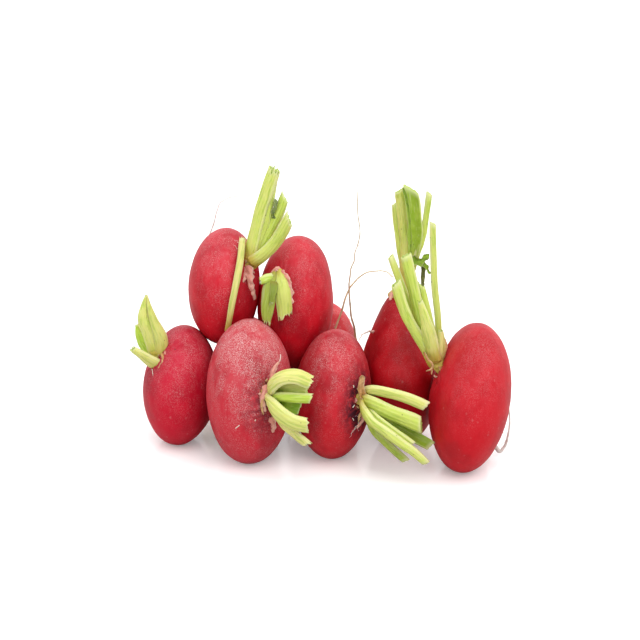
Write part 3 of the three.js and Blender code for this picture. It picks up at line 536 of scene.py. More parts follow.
def tail_rings(radish, neck, seed):
    """Rings of the taproot, that go on from the globe's last ring. The ring's own outline fades into a
    circle over the first millimetres, and its radius falls fast from the neck's to the cord's, and then
    slowly to the tip's. Small knots and bends break the cord up, and low stretches lie on the table."""
    tail = radish["tails"][0]
    start = neck.mean(0)
    pole = on_globe(radish, unit(radish["root"]))
    outward = unit(pole - start)
    route = [start, start + outward * STRAIGHT_OUT, *tail["route"]]
    shares = np.linspace(0, 1, TAIL_STEPS + 1)[1:] ** TAIL_CROWDING
    length = route_length(route)
    middle, along = on_route(route, shares)
    done = shares * length
    across, up = frames_along(along, TAIL_OPENS)
    loose = smooth((done - LOOSE_FROM) / LOOSE_OVER)[:, None]
    middle = middle + TAIL_BEND * loose * (
        across * waves(done[:, None], 8, seed + 5)[:, None] + up * waves(done[:, None], 7, seed + 6)[:, None]
    )
    offset = neck - start
    neck_radius = np.linalg.norm(offset, axis=-1).mean()
    wide, fine = (width / 2 for width in tail["width"])
    cord = fine + (wide - fine) * (1 - shares) ** TAIL_THINNING
    radius = cord + (neck_radius - wide) * np.exp(-done / NECK_FADE)
    radius = radius * (1 + TAIL_KNOTS * loose[:, 0] * waves(done[:, None], 1.8, seed + 7))
    first, quarter = unit(offset[0]), unit(offset[GLOBE_COLUMNS // 4])
    phase = math.atan2(first @ up[0], first @ across[0])
    sense = -np.sign(np.cross(first, quarter) @ along[0])
    angle = phase + sense * 2 * math.pi * np.arange(GLOBE_COLUMNS) / GLOBE_COLUMNS
    circle = np.cos(angle)[None, :, None] * across[:, None] + np.sin(angle)[None, :, None] * up[:, None]
    rounded = smooth(done / ROUND_BY)[:, None, None]
    outline = (1 - rounded) * offset / neck_radius + rounded * circle
    height = middle[:, 2]
    resting = np.maximum(radius, height - 0.9 * smooth((LIES_BELOW - height) / 3))
    middle[:, 2] = np.where(height < LIES_BELOW, resting, height)
    rings = middle[:, None] + outline * radius[:, None, None]
    rings[..., 2] = np.maximum(rings[..., 2], 0)
    return rings, shares


def radish_patches(radish, seed):
    """The globe and its main taproot as one closed skin, and any second root as a cord of its own."""
    globe, skin = globe_rings(radish, seed)
    tail, shares = tail_rings(radish, globe[-1], seed)
    tail_skin = np.broadcast_to(skin[-1], tail.shape).copy()
    tail_skin[..., 2] = 1 + shares[:, None]
    patches = [(np.vstack([globe, tail]), {"skin": np.vstack([skin, tail_skin])})]
    for extra in radish["tails"][1:]:
        rings, share = cord_rings(extra["route"], *(width / 2 for width in extra["width"]), seed=seed + 8)
        marks = np.zeros(rings.shape)
        marks[..., 2] = 1.05 + 0.9 * share[:, None]
        patches.append((rings, {"skin": marks}))
    return patches


def cord_rings(route, wide, fine, seed, steps=40, sides=12, bend=0.12):
    """A thin round cord: circles along the route whose radius falls from wide to fine, with seeded bends."""
    shares = np.linspace(0, 1, steps)
    middle, along = on_route(route, shares)
    across, up = frames_along(along, TAIL_OPENS)
    loose = bend * smooth(shares * 4)[:, None]
    middle = middle + loose * (
        across * waves(shares[:, None] * 12, 3, seed)[:, None]
        + up * waves(shares[:, None] * 12, 3, seed + 1)[:, None]
    )
    angle = 2 * math.pi * np.arange(sides) / sides
    knots = 1 + TAIL_KNOTS * waves(shares[:, None] * 12, 2, seed + 2)
    radius = (fine + (wide - fine) * (1 - shares) ** 1.5) * knots
    circle = np.cos(angle)[None, :, None] * across[:, None] + np.sin(angle)[None, :, None] * up[:, None]
    return middle[:, None] + circle * radius[:, None, None], shares


# Stalks, sheaths and scraps

STALK_STEPS = 44
STALK_SIDES = 64
STALK_RIBS = 13
RIB_HEIGHT = 0.03  # as a share of the section's size
CLASP_WIDER = 0.18  # how much wider a stalk is where it clasps the crown
CLASP_THINNER = 0.2  # how much thinner it is there
CLASP_FADE = 5  # how fast it leaves that shape along its length
JAG_FADE = 2.2  # how fast the raggedness of its end dies away, per millimetre
CUT_INSETS = (0.12, 0.5, 0.86)  # how far in from its rim the rings of the cut face lie
CUT_HEIGHTS = (0.02, -0.35, -0.5)  # how high they stand over the rim, in millimetres
PATTERN_SHIFT = 37.0  # how far apart the fibre patterns of two stalks lie
BLADE_STEPS = 34
BLADE_SIDES = 28
BLADE_WAVES = 0.07  # how high a sheath's waves stand, as a share of its width
KNOT_RADIUS = 1.9  # of the lump of old growth that the stalks rise from
KNOT_LIFT = 0.2  # how far the middle of that lump stands above the crown
SCALE_COUNT = 6  # torn leaf feet round each crown
CRUMB_COUNT = 9  # specks of soil round each crown


def stalk_patch(stalk, seed):
    """A leaf stalk. Its section is an ellipse whose upper half is pushed in by the channel times the square
    of its height, wider where it clasps the crown, with fine ribs on its back and waves all round. Past the
    place where a pointed stalk begins to taper it narrows evenly, and one with a neck starts narrow and
    widens softly up to half its length. The end slopes as it was cut, its rim is ragged, and its face is
    sunk a little between rim and middle line."""
    shares = np.linspace(0, 1, STALK_STEPS)[:, None]
    angle = (-math.pi / 2 + 2 * math.pi * np.arange(STALK_SIDES) / STALK_SIDES)[None]
    length = route_length(stalk["route"])
    middle, along = on_route(stalk["route"], shares[:, 0])
    across, up = frames_along(along, stalk["opens"])
    clasp = np.exp(-CLASP_FADE * shares)
    sine, cosine = np.sin(angle), np.cos(angle)
    stations = np.stack([cosine + 0 * shares, sine + 0 * shares, shares * length / 5 + 0 * angle], -1)
    ribs = 1 + RIB_HEIGHT * np.cos(STALK_RIBS * angle) * smooth((0.3 - sine) / 0.5)
    ribs = ribs + stalk.get("crumpled", 0.045) * waves(stations, 1.6, seed)
    begins, left = stalk.get("point", (0.9, 0.94))
    taper = 1 - (1 - left) * np.clip((shares - begins) / (1 - begins), 0, 1)
    neck = stalk.get("neck", 1)
    taper = taper * (neck + (1 - neck) * smooth(shares / 0.5))
    x = stalk["wide"] / 2 * (1 + CLASP_WIDER * clasp) * cosine * ribs * taper
    depth = stalk["thick"] / 2 * (1 - CLASP_THINNER * clasp) * (0.3 + 0.7 * taper)
    y = depth * (sine - stalk["channel"] * np.maximum(0, sine) ** 2) * ribs
    crease = -depth * stalk["channel"] * sine**2 / 2
    slope = shares**4 * (x * (across @ stalk["cut"])[:, None] + y * (up @ stalk["cut"])[:, None])
    around = np.stack([np.cos(angle[0]), np.sin(angle[0])], -1)
    jag = stalk.get("ragged", 0.1) * (waves(around, 0.55, seed + 1) + 0.5 * waves(around, 0.2, seed + 2))
    z = slope + shares ** (length * JAG_FADE) * jag
    last = STALK_STEPS - 1
    for inset, lift in zip(CUT_INSETS, CUT_HEIGHTS):
        x = np.vstack([x, x[last] * (1 - 0.25 * inset)])
        y = np.vstack([y, y[last] * (1 - inset) + crease[last] * inset])
        z = np.vstack([z, z[last] + lift + 0.15 * inset * waves(around, 0.3, seed + 4)])
    rows = np.minimum(np.arange(STALK_STEPS + len(CUT_INSETS)), last)
    middle, across, up, along = (part[rows, None] for part in (middle, across, up, along))
    rings = middle + x[..., None] * across + y[..., None] * up + z[..., None] * along
    done = np.vstack([shares, np.full((len(CUT_INSETS), 1), 1.02)])
    stem = np.stack([cosine + 0 * done, sine + 0 * done, done + 0 * angle], -1)
    fibre = np.stack([x, y, done * length + 0 * angle + PATTERN_SHIFT * (seed % 11)], -1)
    tone = (stalk["tone"], stalk.get("dry", 0), stalk.get("olive_shade", 0))
    return rings, {"stem": stem, "fibre": fibre, "tone": tone}


def lump_patch(spot, radius, seed, tone=0.2, rough=0.12, steps=(22, 32)):
    """A closed bumpy ball: rings of a sphere, pushed in and out by waves."""
    latitude = np.linspace(3, 177, steps[0])[:, None] * math.pi / 180
    longitude = np.arange(steps[1])[None] * 2 * math.pi / steps[1]
    ball = np.stack([
        np.sin(latitude) * np.cos(longitude),
        np.sin(latitude) * np.sin(longitude),
        np.cos(latitude) + 0 * longitude,
    ], -1)
    size = radius * (1 + rough * waves(ball, 0.9, seed))[..., None]
    rings = np.asarray(spot, float) + ball * size
    marks = {"stem": (0, -1, 0.05), "fibre": ball * radius, "tone": (tone, 0.4, 0)}
    return rings, marks


def blade_patch(route, wide, thick=0.16, opens=(0, -1, 0.3), cup=0.22, ragged=0.18, tip=0.25, seed=1):
    """A torn sheath or scrap: a thin lens section carried along a route, cupped towards where it opens. Its
    half width falls from full to the tip's share, and each edge wanders by its own waves."""
    shares = np.linspace(0, 1, BLADE_STEPS)[:, None]
    angle = (2 * math.pi * np.arange(BLADE_SIDES) / BLADE_SIDES - math.pi / 2)[None]
    middle, along = on_route(route, shares[:, 0])
    across, up = frames_along(along, opens)
    length = route_length(route)
    edges = np.concatenate([shares * length, np.zeros_like(shares)], -1)
    left = 1 + ragged * (waves(edges, 2.2, seed) + 0.35 * waves(edges, 0.8, seed + 1))[:, None]
    right = 1 + ragged * (waves(edges, 2.2, seed + 2) + 0.35 * waves(edges, 0.8, seed + 3))[:, None]
    side = np.cos(angle)
    width = wide / 2 * (1 - (1 - tip) * shares**1.5) * np.where(side > 0, right, left)
    rounded = np.sqrt(np.clip(1 - ((shares - 0.5) / 0.5) ** 8, 0.02, 1))
    x = width * side * rounded
    y = thick / 2 * np.sin(angle) * rounded + cup * wide * (side**2 - 0.5)
    y = y + BLADE_WAVES * wide * waves(np.stack([x, shares * length + 0 * x], -1), 1.6, seed + 4)
    rings = middle[:, None] + x[..., None] * across[:, None] + y[..., None] * up[:, None]
    stem = np.stack([side + 0 * shares, np.sin(angle) + 0 * shares, shares + 0 * angle], -1)
    fibre = np.stack([x, y, shares * length + 0 * x], -1)
    return rings, {"stem": stem, "fibre": fibre}


def hair_patch(route, wide=0.16, fine=0.05, seed=1, bend=0.15):
    """A root hair or fibre: a fine cord with the marks that sheaths have."""
    rings, shares = cord_rings(route, wide / 2, fine / 2, seed, steps=24, sides=8, bend=bend)
    marks = np.zeros(rings.shape)
    marks[..., 2] = shares[:, None]
    return rings, {"stem": marks, "fibre": marks * 3}


# Materials

HIGHLIGHT_SIDE = (0.06, -0.24, 0.97)  # where the painted highlight on the pale bloom gathers: towards the light, up and a little to the front
LIGHT_LEVEL = 1.3  # how much more light falls on a level white surface than it takes to look white
TABLE_WHITE = 0.66  # the share of the light that the table sends back to the pile
TABLE_WHITER = 0.3  # how much more it sends back to the camera
TABLE_GLOW = 0.2  # how strongly it seems to glow there


def paint(code):
    """A colour as it looks under this bright light, in six hexadecimal digits, as the share of the light
    that its surface sends back. The curve is that of screens, undone."""
    parts = [int(code[k:k + 2], 16) / 255 for k in (0, 2, 4)]
    shares = [part / 12.92 if part <= 0.04045 else ((part + 0.055) / 1.055) ** 2.4 for part in parts]
    return (*(share / LIGHT_LEVEL for share in shares), 1.0)


def place(tree, kind, inputs=None, **settings):
    """Puts a node in a tree. Settings are its own properties, and each input is a value or a socket."""
    node = tree.nodes.new(kind)
    for name, value in settings.items():
        setattr(node, name, value)
    for key, value in (inputs or {}).items():
        if isinstance(value, bpy.types.NodeSocket):
            tree.links.new(value, node.inputs[key])
        else:
            node.inputs[key].default_value = value
    return node


def sums(tree, operation, first, second=0.0):
    """One step of arithmetic."""
    return place(tree, "ShaderNodeMath", {0: first, 1: second}, operation=operation).outputs[0]


def line(tree, value, slope, start):
    """A value times a slope, plus a start."""
    return place(tree, "ShaderNodeMath", {0: value, 1: slope, 2: start}, operation="MULTIPLY_ADD").outputs[0]


def step(tree, value, low, high):
    """A soft step of a value from 0 at low to 1 at high."""
    inputs = {"Value": value, "From Min": low, "From Max": high}
    return place(tree, "ShaderNodeMapRange", inputs, interpolation_type="SMOOTHSTEP").outputs["Result"]


def fall(tree, value, low, high):
    """A soft fall of a value from 1 at low to 0 at high."""
    return sums(tree, "SUBTRACT", 1.0, step(tree, value, low, high))


def blend(tree, share, first, second):
    """A mix of two colours by a share."""
    return place(tree, "ShaderNodeMix", {0: share, 6: first, 7: second}, data_type="RGBA").outputs[2]


def tinted(tree, colour, mask, strength, code):
    """A colour that goes over to a painted one by a mask times a strength."""
    return blend(tree, sums(tree, "MULTIPLY", mask, strength), colour, paint(code))


def scaled(tree, vector, scale):
    """A vector times a number for each axis."""
    return place(tree, "ShaderNodeVectorMath", {0: vector, 1: scale}, operation="MULTIPLY").outputs[0]


def noise(tree, vector, scale, detail, roughness):
    """The grey value of Blender's noise."""
    inputs = {"Vector": vector, "Scale": scale, "Detail": detail, "Roughness": roughness}
    return place(tree, "ShaderNodeTexNoise", inputs).outputs["Fac"]


def parts_of(tree, vector):
    """The three numbers of a vector."""
    return place(tree, "ShaderNodeSeparateXYZ", {0: vector}).outputs


def attribute(tree, name):
    """A piece's own marks, by name."""
    return place(tree, "ShaderNodeAttribute", attribute_name=name).outputs["Vector"]


def millimetres(tree):
    """The place on the object, in millimetres."""
    spot = place(tree, "ShaderNodeTexCoord").outputs["Object"]
    return scaled(tree, spot, (1 / METRE, 1 / METRE, 1 / METRE))


def new_group(name, inputs, outputs):
    """An empty node group. Inputs have a default, a number or a vector, and outputs are numbers."""
    group = bpy.data.node_groups.new(name, "ShaderNodeTree")
    for label, value in inputs.items():
        kind = "NodeSocketVector" if isinstance(value, tuple) else "NodeSocketFloat"
        socket = group.interface.new_socket(label, in_out="INPUT", socket_type=kind)
        socket.default_value = value
    for label in outputs:
        group.interface.new_socket(label, in_out="OUTPUT", socket_type="NodeSocketFloat")
    return group, place(group, "NodeGroupInput").outputs, place(group, "NodeGroupOutput")


def speckle_group():
    """Fine pale grains and dark pits of a taut skin, tall streaks, and broad patches, from places in
    millimetres. Grains are the crests of a fine noise and pits its hollows, both thinned by a coarser one,
    pores are a few small round cells, and a streak is noise drawn out along Z."""
    outputs = ["Grains", "Pits", "Pores", "Streaks", "Patches", "Relief"]
    tree, given, out = new_group("Skin speckle", {"Place": (0.0, 0.0, 0.0)}, outputs)
    spot = given["Place"]
    fine = noise(tree, scaled(tree, spot, (6.0, 6.0, 3.8)), 1.0, 1.0, 0.5)
    fog = noise(tree, scaled(tree, spot, (0.3, 0.3, 0.2)), 1.0, 3.0, 0.6)
    thin = step(tree, fog, 0.3, 0.6)
    grains = sums(tree, "MULTIPLY", step(tree, fine, 0.46, 0.7), thin)
    pits = sums(tree, "MULTIPLY", fall(tree, fine, 0.26, 0.48), thin)
    cells = place(tree, "ShaderNodeTexVoronoi",
                  {"Vector": scaled(tree, spot, (1.0, 1.0, 0.7)), "Scale": 0.7, "Randomness": 1.0})
    pick = parts_of(tree, cells.outputs["Color"])[0]
    near = fall(tree, cells.outputs["Distance"], 0.1, 0.28)
    pores = sums(tree, "MULTIPLY", near, step(tree, pick, 0.6, 1.0))
    streaks = noise(tree, scaled(tree, spot, (1.1, 1.1, 0.09)), 1.0, 3.0, 0.6)
    patches = noise(tree, scaled(tree, spot, (0.11, 0.11, 0.085)), 1.0, 3.0, 0.55)
    relief = noise(tree, scaled(tree, spot, (1.5, 1.5, 1.0)), 1.0, 3.0, 0.6)
    for label, value in zip(outputs, (grains, pits, pores, streaks, patches, relief)):
        tree.links.new(value, out.inputs[label])
    return tree


def fibre_group():
    """Long fibres of a stalk, sheath or root: noise that changes fast across a section and slowly along
    it, with a second, finer layer for relief, and seldom dark specks."""
    tree, given, out = new_group(
        "Fibres", {"Section": (0.0, 0.0, 0.0), "Length scale": 0.12}, ["Fibres", "Relief", "Specks"]
    )
    x, y, z = parts_of(tree, given["Section"])
    drawn = sums(tree, "MULTIPLY", z, given["Length scale"])
    spot = place(tree, "ShaderNodeCombineXYZ", {0: x, 1: y, 2: drawn}).outputs[0]
    fibres = noise(tree, spot, 1.6, 3.0, 0.6)
    relief = noise(tree, spot, 3.6, 2.0, 0.6)
    cells = place(tree, "ShaderNodeTexVoronoi", {"Vector": given["Section"], "Scale": 0.9, "Randomness": 1.0})
    pick = parts_of(tree, cells.outputs["Color"])[1]
    near = fall(tree, cells.outputs["Distance"], 0.07, 0.2)
    specks = sums(tree, "MULTIPLY", near, step(tree, pick, 0.9, 0.95))
    for label, value in zip(("Fibres", "Relief", "Specks"), (fibres, relief, specks)):
        tree.links.new(value, out.inputs[label])
    return tree


def use_group(tree, group, inputs):
    """Places a node group and returns its outputs."""
    return place(tree, "ShaderNodeGroup", inputs, node_tree=group).outputs


def new_material(name):
    """A material with only its surface shader, and its tree."""
    material = bpy.data.materials.new(name)
    material.use_nodes = True
    tree = material.node_tree
    return material, tree, tree.nodes["Principled BSDF"]


def connect(tree, shader, links):
    """Feeds the surface shader, by socket name."""
    for name, socket in links.items():
        tree.links.new(socket, shader.inputs[name])


def constant(shader, values):
    """Values that are the same all over the surface, set on the shader's own sockets."""
    for name, value in values.items():
        shader.inputs[name].default_value = value


def bumped(tree, height, distance, strength):
    """A normal from a height that stands for some millimetres of relief."""
    inputs = {"Height": height, "Distance": distance * METRE, "Strength": strength}
    return place(tree, "ShaderNodeBump", inputs).outputs["Normal"]


def skin_material(name, look, speckle, fibres):
    """A radish's skin: red that deepens in patches and tall streaks, a pale bloom that lies everywhere and is
    painted on more strongly as a highlight where it faces the light, up and a little to the front, fine pale
    grains that are painted brighter there as glints, pores and dark pits, purple-brown soil round the crown,
    its purple-brown mixed in more where the skin faces down, and a root that fades along its fibres."""
    material, tree, shader = new_material(name)
    spot = millimetres(tree)
    marks = use_group(tree, speckle, {"Place": spot})
    around_x, around_y, reach = parts_of(tree, attribute(tree, "skin"))
    normal = place(tree, "ShaderNodeNewGeometry").outputs["Normal"]
    facing = parts_of(tree, normal)[2]
    lit = place(tree, "ShaderNodeVectorMath", {0: normal, 1: HIGHLIGHT_SIDE}, operation="DOT_PRODUCT")
    facing_light = step(tree, lit.outputs["Value"], -0.1, 1.0)
    colour = blend(tree, step(tree, marks["Patches"], 0.36, 0.6), paint(look["deep"]), paint(look["middle"]))
    # Bloom lies everywhere at the first share and rises to the second where the skin faces the light: that
    # rise is a painted highlight.
    everywhere, on_lit_side = look["bloom_and_highlight_shares"]
    bloom_and_highlight_level = line(tree, facing_light, on_lit_side - everywhere, everywhere)
    cloud = line(tree, step(tree, marks["Patches"], 0.32, 0.62), 0.5, 0.5)
    tall = line(tree, step(tree, marks["Streaks"], 0.3, 0.66), 0.5, 0.6)
    pale_bloom_and_highlight = sums(tree, "MULTIPLY", bloom_and_highlight_level, sums(tree, "MULTIPLY", cloud, tall))
    colour = blend(tree, pale_bloom_and_highlight, colour, paint(look["pale_bloom_and_highlight"]))
    # The pale grains are painted up to five times stronger on the side that faces the light: painted glints.
    grain_and_glint = line(tree, facing_light, look["grain_and_glint"], 0.25 * look["grain_and_glint"])
    colour = tinted(tree, colour, marks["Grains"], grain_and_glint, "efc4c2")
    colour = tinted(tree, colour, marks["Pits"], 0.5 * look["grain_and_glint"], look["deep"])
    colour = tinted(tree, colour, marks["Pores"], 0.1 + 0.12 * look["grain_and_glint"], "f0c6c4")
    shaded = fall(tree, marks["Streaks"], 0.28, 0.46)
    colour = tinted(tree, colour, shaded, 0.3, look["deep"])
    crown = fall(tree, reach, 0.06, 0.28)
    crumbs = step(tree, noise(tree, spot, 0.8, 5.0, 0.65), 0.3, 0.58)
    # The purple-brown is mixed in more where the skin faces down, so the crown is darker on its underside.
    under = line(tree, step(tree, facing, 0.45, -0.15), 0.6, 0.4)
    soil = sums(tree, "MULTIPLY", sums(tree, "MULTIPLY", crown, crumbs), look["soil"])
    soil = sums(tree, "MULTIPLY", soil, under)
    colour = blend(tree, soil, colour, paint("55202e"))
    foot = fall(tree, reach, 0.035, 0.075)
    colour = tinted(tree, colour, foot, 0.7, "9b5a48")
    section = place(tree, "ShaderNodeCombineXYZ", {0: around_x, 1: around_y, 2: reach}).outputs[0]
    strands = use_group(tree, fibres, {"Section": section, "Length scale": 3.0})
    root = blend(tree, step(tree, reach, 1.02, 1.45), paint(look["root"]), paint(look["tip"]))
    root = tinted(tree, root, strands["Fibres"], 0.2, "b8845e")
    colour = blend(tree, step(tree, reach, 0.955, 1.01), colour, root)
    rough = line(tree, marks["Relief"], 0.16, 0.4)
    rough = sums(tree, "ADD", rough, sums(tree, "MULTIPLY", soil, 0.3))
    height = sums(tree, "ADD", marks["Relief"], sums(tree, "MULTIPLY", marks["Grains"], 0.6 * look["grain_and_glint"]))
    relief = bumped(tree, height, 0.045, 0.6)
    connect(tree, shader, {"Base Color": colour, "Roughness": rough, "Normal": relief})
    constant(shader, {
        "Subsurface Weight": 0.1, "Subsurface Radius": (1.0, 0.2, 0.15), "Subsurface Scale": 0.8 * METRE,
        "Specular IOR Level": 0.2, "IOR": 1.42,
    })
    return material


def stalk_material(name, fibres):
    """A leaf stalk: cream to green by its tone, greener down its channel, cream-yellow where it is dry and
    darkened to olive as painted shade where it lies in shadow, with deeper grooves and pale ridges along its
    fibres, cream along its two edges, straw at the crown, a pale rim round a greener cut, and seldom a dark
    speck."""
    material, tree, shader = new_material(name)
    across, rise, reach = parts_of(tree, attribute(tree, "stem"))
    green, dry, olive_shade = parts_of(tree, attribute(tree, "tone"))
    section = attribute(tree, "fibre")
    strands = use_group(tree, fibres, {"Section": section, "Length scale": 0.1})
    clouds = noise(tree, section, 0.35, 2.0, 0.5)
    outer = blend(tree, green, paint("f4f68c"), paint("c0e240"))
    inner = blend(tree, green, paint("cfe054"), paint("94c424"))
    colour = blend(tree, step(tree, rise, 0.0, 0.6), outer, inner)
    colour = tinted(tree, colour, step(tree, clouds, 0.4, 0.65), 0.4, "d6f060")
    colour = blend(tree, dry, colour, paint("f6ea98"))
    grooves = fall(tree, strands["Fibres"], 0.38, 0.52)
    colour = tinted(tree, colour, grooves, 0.5, "a6c83c")
    ridges = step(tree, strands["Relief"], 0.52, 0.72)
    colour = tinted(tree, colour, ridges, 0.35, "fbffb8")
    edge = step(tree, sums(tree, "ABSOLUTE", across), 0.82, 1.0)
    colour = tinted(tree, colour, edge, 0.5, "fffcc4")
    base = fall(tree, reach, 0.0, 0.28)
    colour = tinted(tree, colour, base, 0.7, "d2a83c")
    # Olive darkening by the third tone: painted shade on stalks that lie in shadow inside the bundles.
    colour = blend(tree, olive_shade, colour, paint("7c8028"))
    rim = step(tree, reach, 0.94, 0.99)
    colour = tinted(tree, colour, rim, 0.5, "f8f8c4")
    cut = step(tree, reach, 1.003, 1.015)
    colour = tinted(tree, colour, cut, 0.6, "b4d058")
    colour = tinted(tree, colour, strands["Specks"], 0.75, "4a4a1c")
    rough = line(tree, strands["Fibres"], 0.2, 0.32)
    relief = bumped(tree, strands["Relief"], 0.11, 0.8)
    connect(tree, shader, {"Base Color": colour, "Roughness": rough, "Normal": relief})
    constant(shader, {
        "Subsurface Weight": 0.25, "Subsurface Radius": (0.8, 1.0, 0.25), "Subsurface Scale": 0.9 * METRE,
        "Specular IOR Level": 0.35, "IOR": 1.42,
    })
    return material


def sheath_material(name, fibres, near, far, dark, roughness=0.6):
    """A dry torn sheath, hair or rag: from one colour at its foot to another at its tip, with darker fibres
    and paler edges."""
    material, tree, shader = new_material(name)
    across, _, reach = parts_of(tree, attribute(tree, "stem"))
    strands = use_group(tree, fibres, {"Section": attribute(tree, "fibre"), "Length scale": 0.35})
    colour = blend(tree, step(tree, reach, 0.0, 0.9), paint(near), paint(far))
    colour = tinted(tree, colour, step(tree, strands["Fibres"], 0.42, 0.68), 0.7, dark)
    edge = step(tree, sums(tree, "ABSOLUTE", across), 0.75, 1.0)
    colour = tinted(tree, colour, edge, 0.35, "f3e3cf")
    rough = line(tree, strands["Relief"], 0.25, roughness - 0.12)
    connect(tree, shader, {
        "Base Color": colour, "Roughness": rough, "Normal": bumped(tree, strands["Relief"], 0.08, 0.8),
    })
    constant(shader, {"Subsurface Weight": 0.15, "Subsurface Radius": (1.0, 0.6, 0.4),
                      "Subsurface Scale": 0.5 * METRE, "IOR": 1.4})
    return material


def floor_material():
    """A smooth white table top with faint soft reflections. The camera sees it whiter than it is to the
    pile's own light, and faintly glowing, as white looks in a bright photograph."""
    material, tree, shader = new_material("White table top")
    grey = noise(tree, millimetres(tree), 0.02, 2.0, 0.5)
    seen = place(tree, "ShaderNodeLightPath").outputs["Is Camera Ray"]
    plain = line(tree, seen, TABLE_WHITER, TABLE_WHITE)
    white = sums(tree, "ADD", plain, sums(tree, "MULTIPLY", grey, 0.02))
    colour = place(tree, "ShaderNodeCombineColor", {0: white, 1: white, 2: white}).outputs[0]
    lift = sums(tree, "MULTIPLY", seen, TABLE_GLOW)
    glow = place(tree, "ShaderNodeCombineColor", {0: lift, 1: lift, 2: lift}).outputs[0]
    connect(tree, shader, {"Base Color": colour, "Emission Color": glow})
    constant(shader, {"Roughness": 0.14, "Specular IOR Level": 0.4, "IOR": 1.45, "Emission Strength": 1.0})
    return material


# Torn sheaths, scraps and hairs, most of them at the crowns, by radish and kind. The two sheaths that the
# solids hold come first in their lists. Each has its route in millimetres, and what differs from a plain
# blade.
PINK_SHEATHS = {
    "upper_left": [
        dict(route=[[-19.2, 13.6, 50.8], [-18.5, 11.5, 46.6], [-17.3, 11.2, 42]], wide=2.9, tip=0.25,
             opens=(0.5, 0.8, 0), ragged=0.07, cup=0.3),
        dict(route=[[-19.9, 13.8, 50.2], [-19.9, 12.4, 48.2], [-20.4, 11.6, 46.6]], wide=1.5, tip=0.3,
             opens=(0.5, 0.8, 0)),
    ],
    "left": [
        dict(route=[[-41.3, 8.9, 28.4], [-40.7, 7.5, 26.6], [-41.7, 6.6, 24.4]], wide=0.8, tip=0.4,
             opens=(-0.2, 0.8, 0)),
    ],
    "front_left": [
        dict(route=[[-13.5, -10.2, 26.4], [-15.0, -11.5, 22.9], [-14.2, -11.5, 19.2]], wide=1.7, tip=0.6,
             opens=(0.4, 0.9, 0)),
        dict(route=[[-12.9, -9.0, 27.0], [-11.9, -7.2, 29.6], [-10.6, -5.0, 30.8]], wide=1.5, tip=0.4,
             opens=(0.3, 0.9, -0.5)),
        dict(route=[[-12.8, -10.2, 17.3], [-12.2, -9.8, 14.8], [-12.4, -8.6, 12.2]], wide=1.9, tip=0.45,
             opens=(0.3, 0.9, 0)),
    ],
    "front_middle": [
        dict(route=[[11.6, -5.2, 17.4], [11.0, -5.8, 14.6], [9.6, -6.2, 12.4]], wide=1.2, tip=0.4,
             opens=(0.3, 0.9, 0)),
    ],
    "upper_middle": [
        dict(route=[[-13.1, 10.2, 48.9], [-11.5, 10.2, 51.2], [-9.5, 9.6, 49.8]], wide=1.6, tip=0.7,
             opens=(0.1, 0.3, -0.9)),
        dict(route=[[-10.2, 9.4, 50.8], [-8.7, 8, 48.6], [-7.9, 7, 45.9], [-7.4, 6.6, 42.4]], wide=2.1,
             tip=0.5, opens=(0.5, 0.8, 0), ragged=0.3),
    ],
    "behind_right": [
        dict(route=[[20.4, 16.8, 42.2], [19.1, 15.6, 42], [18.5, 14.6, 40.6]], wide=1.5, tip=0.5,
             opens=(0.2, 0.9, 0)),
    ],
}

BROWN_SHEATHS = {
    "front_middle": [
        dict(route=[[11.3, -5.6, 20.8], [10.5, -6.4, 24], [10.9, -5.2, 27]], wide=2, tip=0.8,
             opens=(0.4, -0.9, 0), cup=0.4, ragged=0.08),
        dict(route=[[11.8, -5.6, 18.2], [10.4, -6.4, 16.2], [10.0, -6.3, 14.2]], wide=1.0, tip=0.4,
             opens=(0.3, 0.9, 0)),
    ],
    "left": [
        dict(route=[[-41.9, 8.6, 28], [-41.7, 7.2, 26], [-43, 6.7, 23.8]], wide=1, tip=0.5,
             opens=(-0.2, 0.9, 0)),
    ],
    "right": [
        dict(route=[[26.9, -5.4, 33.6], [27.8, -6.4, 31.8], [28.9, -7, 31], [28.8, -7.2, 29.5],
             [27.4, -7, 28.8]], wide=0.8, tip=0.5, opens=(0.4, 0.9, 0.2)),
        dict(route=[[29.2, -6, 30.4], [28.9, -6.6, 29], [28.9, -6.4, 27.6]], wide=0.7, tip=0.4,
             opens=(0.4, 0.9, 0.2)),
        dict(route=[[31.9, -4, 32.6], [32.6, -3.6, 34.5], [32.2, -3, 36.5]], wide=1.1, tip=0.5,
             opens=(0.4, 0.9, 0.2)),
    ],
    "front_left": [
        dict(route=[[-14.0, -11.0, 24.6], [-15.1, -11.9, 21.6], [-14.6, -11.9, 18.6]], wide=0.8, tip=0.5,
             opens=(0.4, 0.9, 0)),
    ],
}

HAIRS = {
    "front_middle": [
        [[11.6, -5.0, 17.8], [10.8, -5.6, 16.4], [9.2, -5.8, 15.6]],
        [[11.3, -5.0, 15.4], [9.8, -6.0, 13.2], [8.0, -6.6, 11.0]],
        [[11.2, -4.6, 16.8], [10.2, -5.8, 14.2], [9.9, -6.6, 11.8]],
        [[11.0, -4.8, 14.0], [9.0, -6.2, 12.2], [7.8, -7.2, 10.2]],
    ],
    "upper_left": [
        [[-20.2, 14.4, 54.4], [-21.4, 14.8, 56.6], [-22.6, 15.0, 57.4]],
        [[-20.4, 14.2, 53.8], [-22.0, 14.4, 55.4], [-22.9, 14.2, 56.4]],
    ],
    "behind_middle": [
        [[8.4, 27.6, 48.0], [9.6, 28.4, 50.0], [10.6, 29.0, 51.6], [11.8, 29.4, 52.6]],
        [[9.6, 29.0, 50.0], [10.8, 29.6, 52.0], [11.2, 30.2, 54.4]],
    ],
    "right": [
        [[48.4, 4.2, 3.4], [50.2, 3.2, 4.8], [49.6, 2.2, 6.6]],
        [[49.6, 4.2, 5.8], [48.6, 5.2, 7.8], [48.9, 5.6, 9.8]],
    ],
}

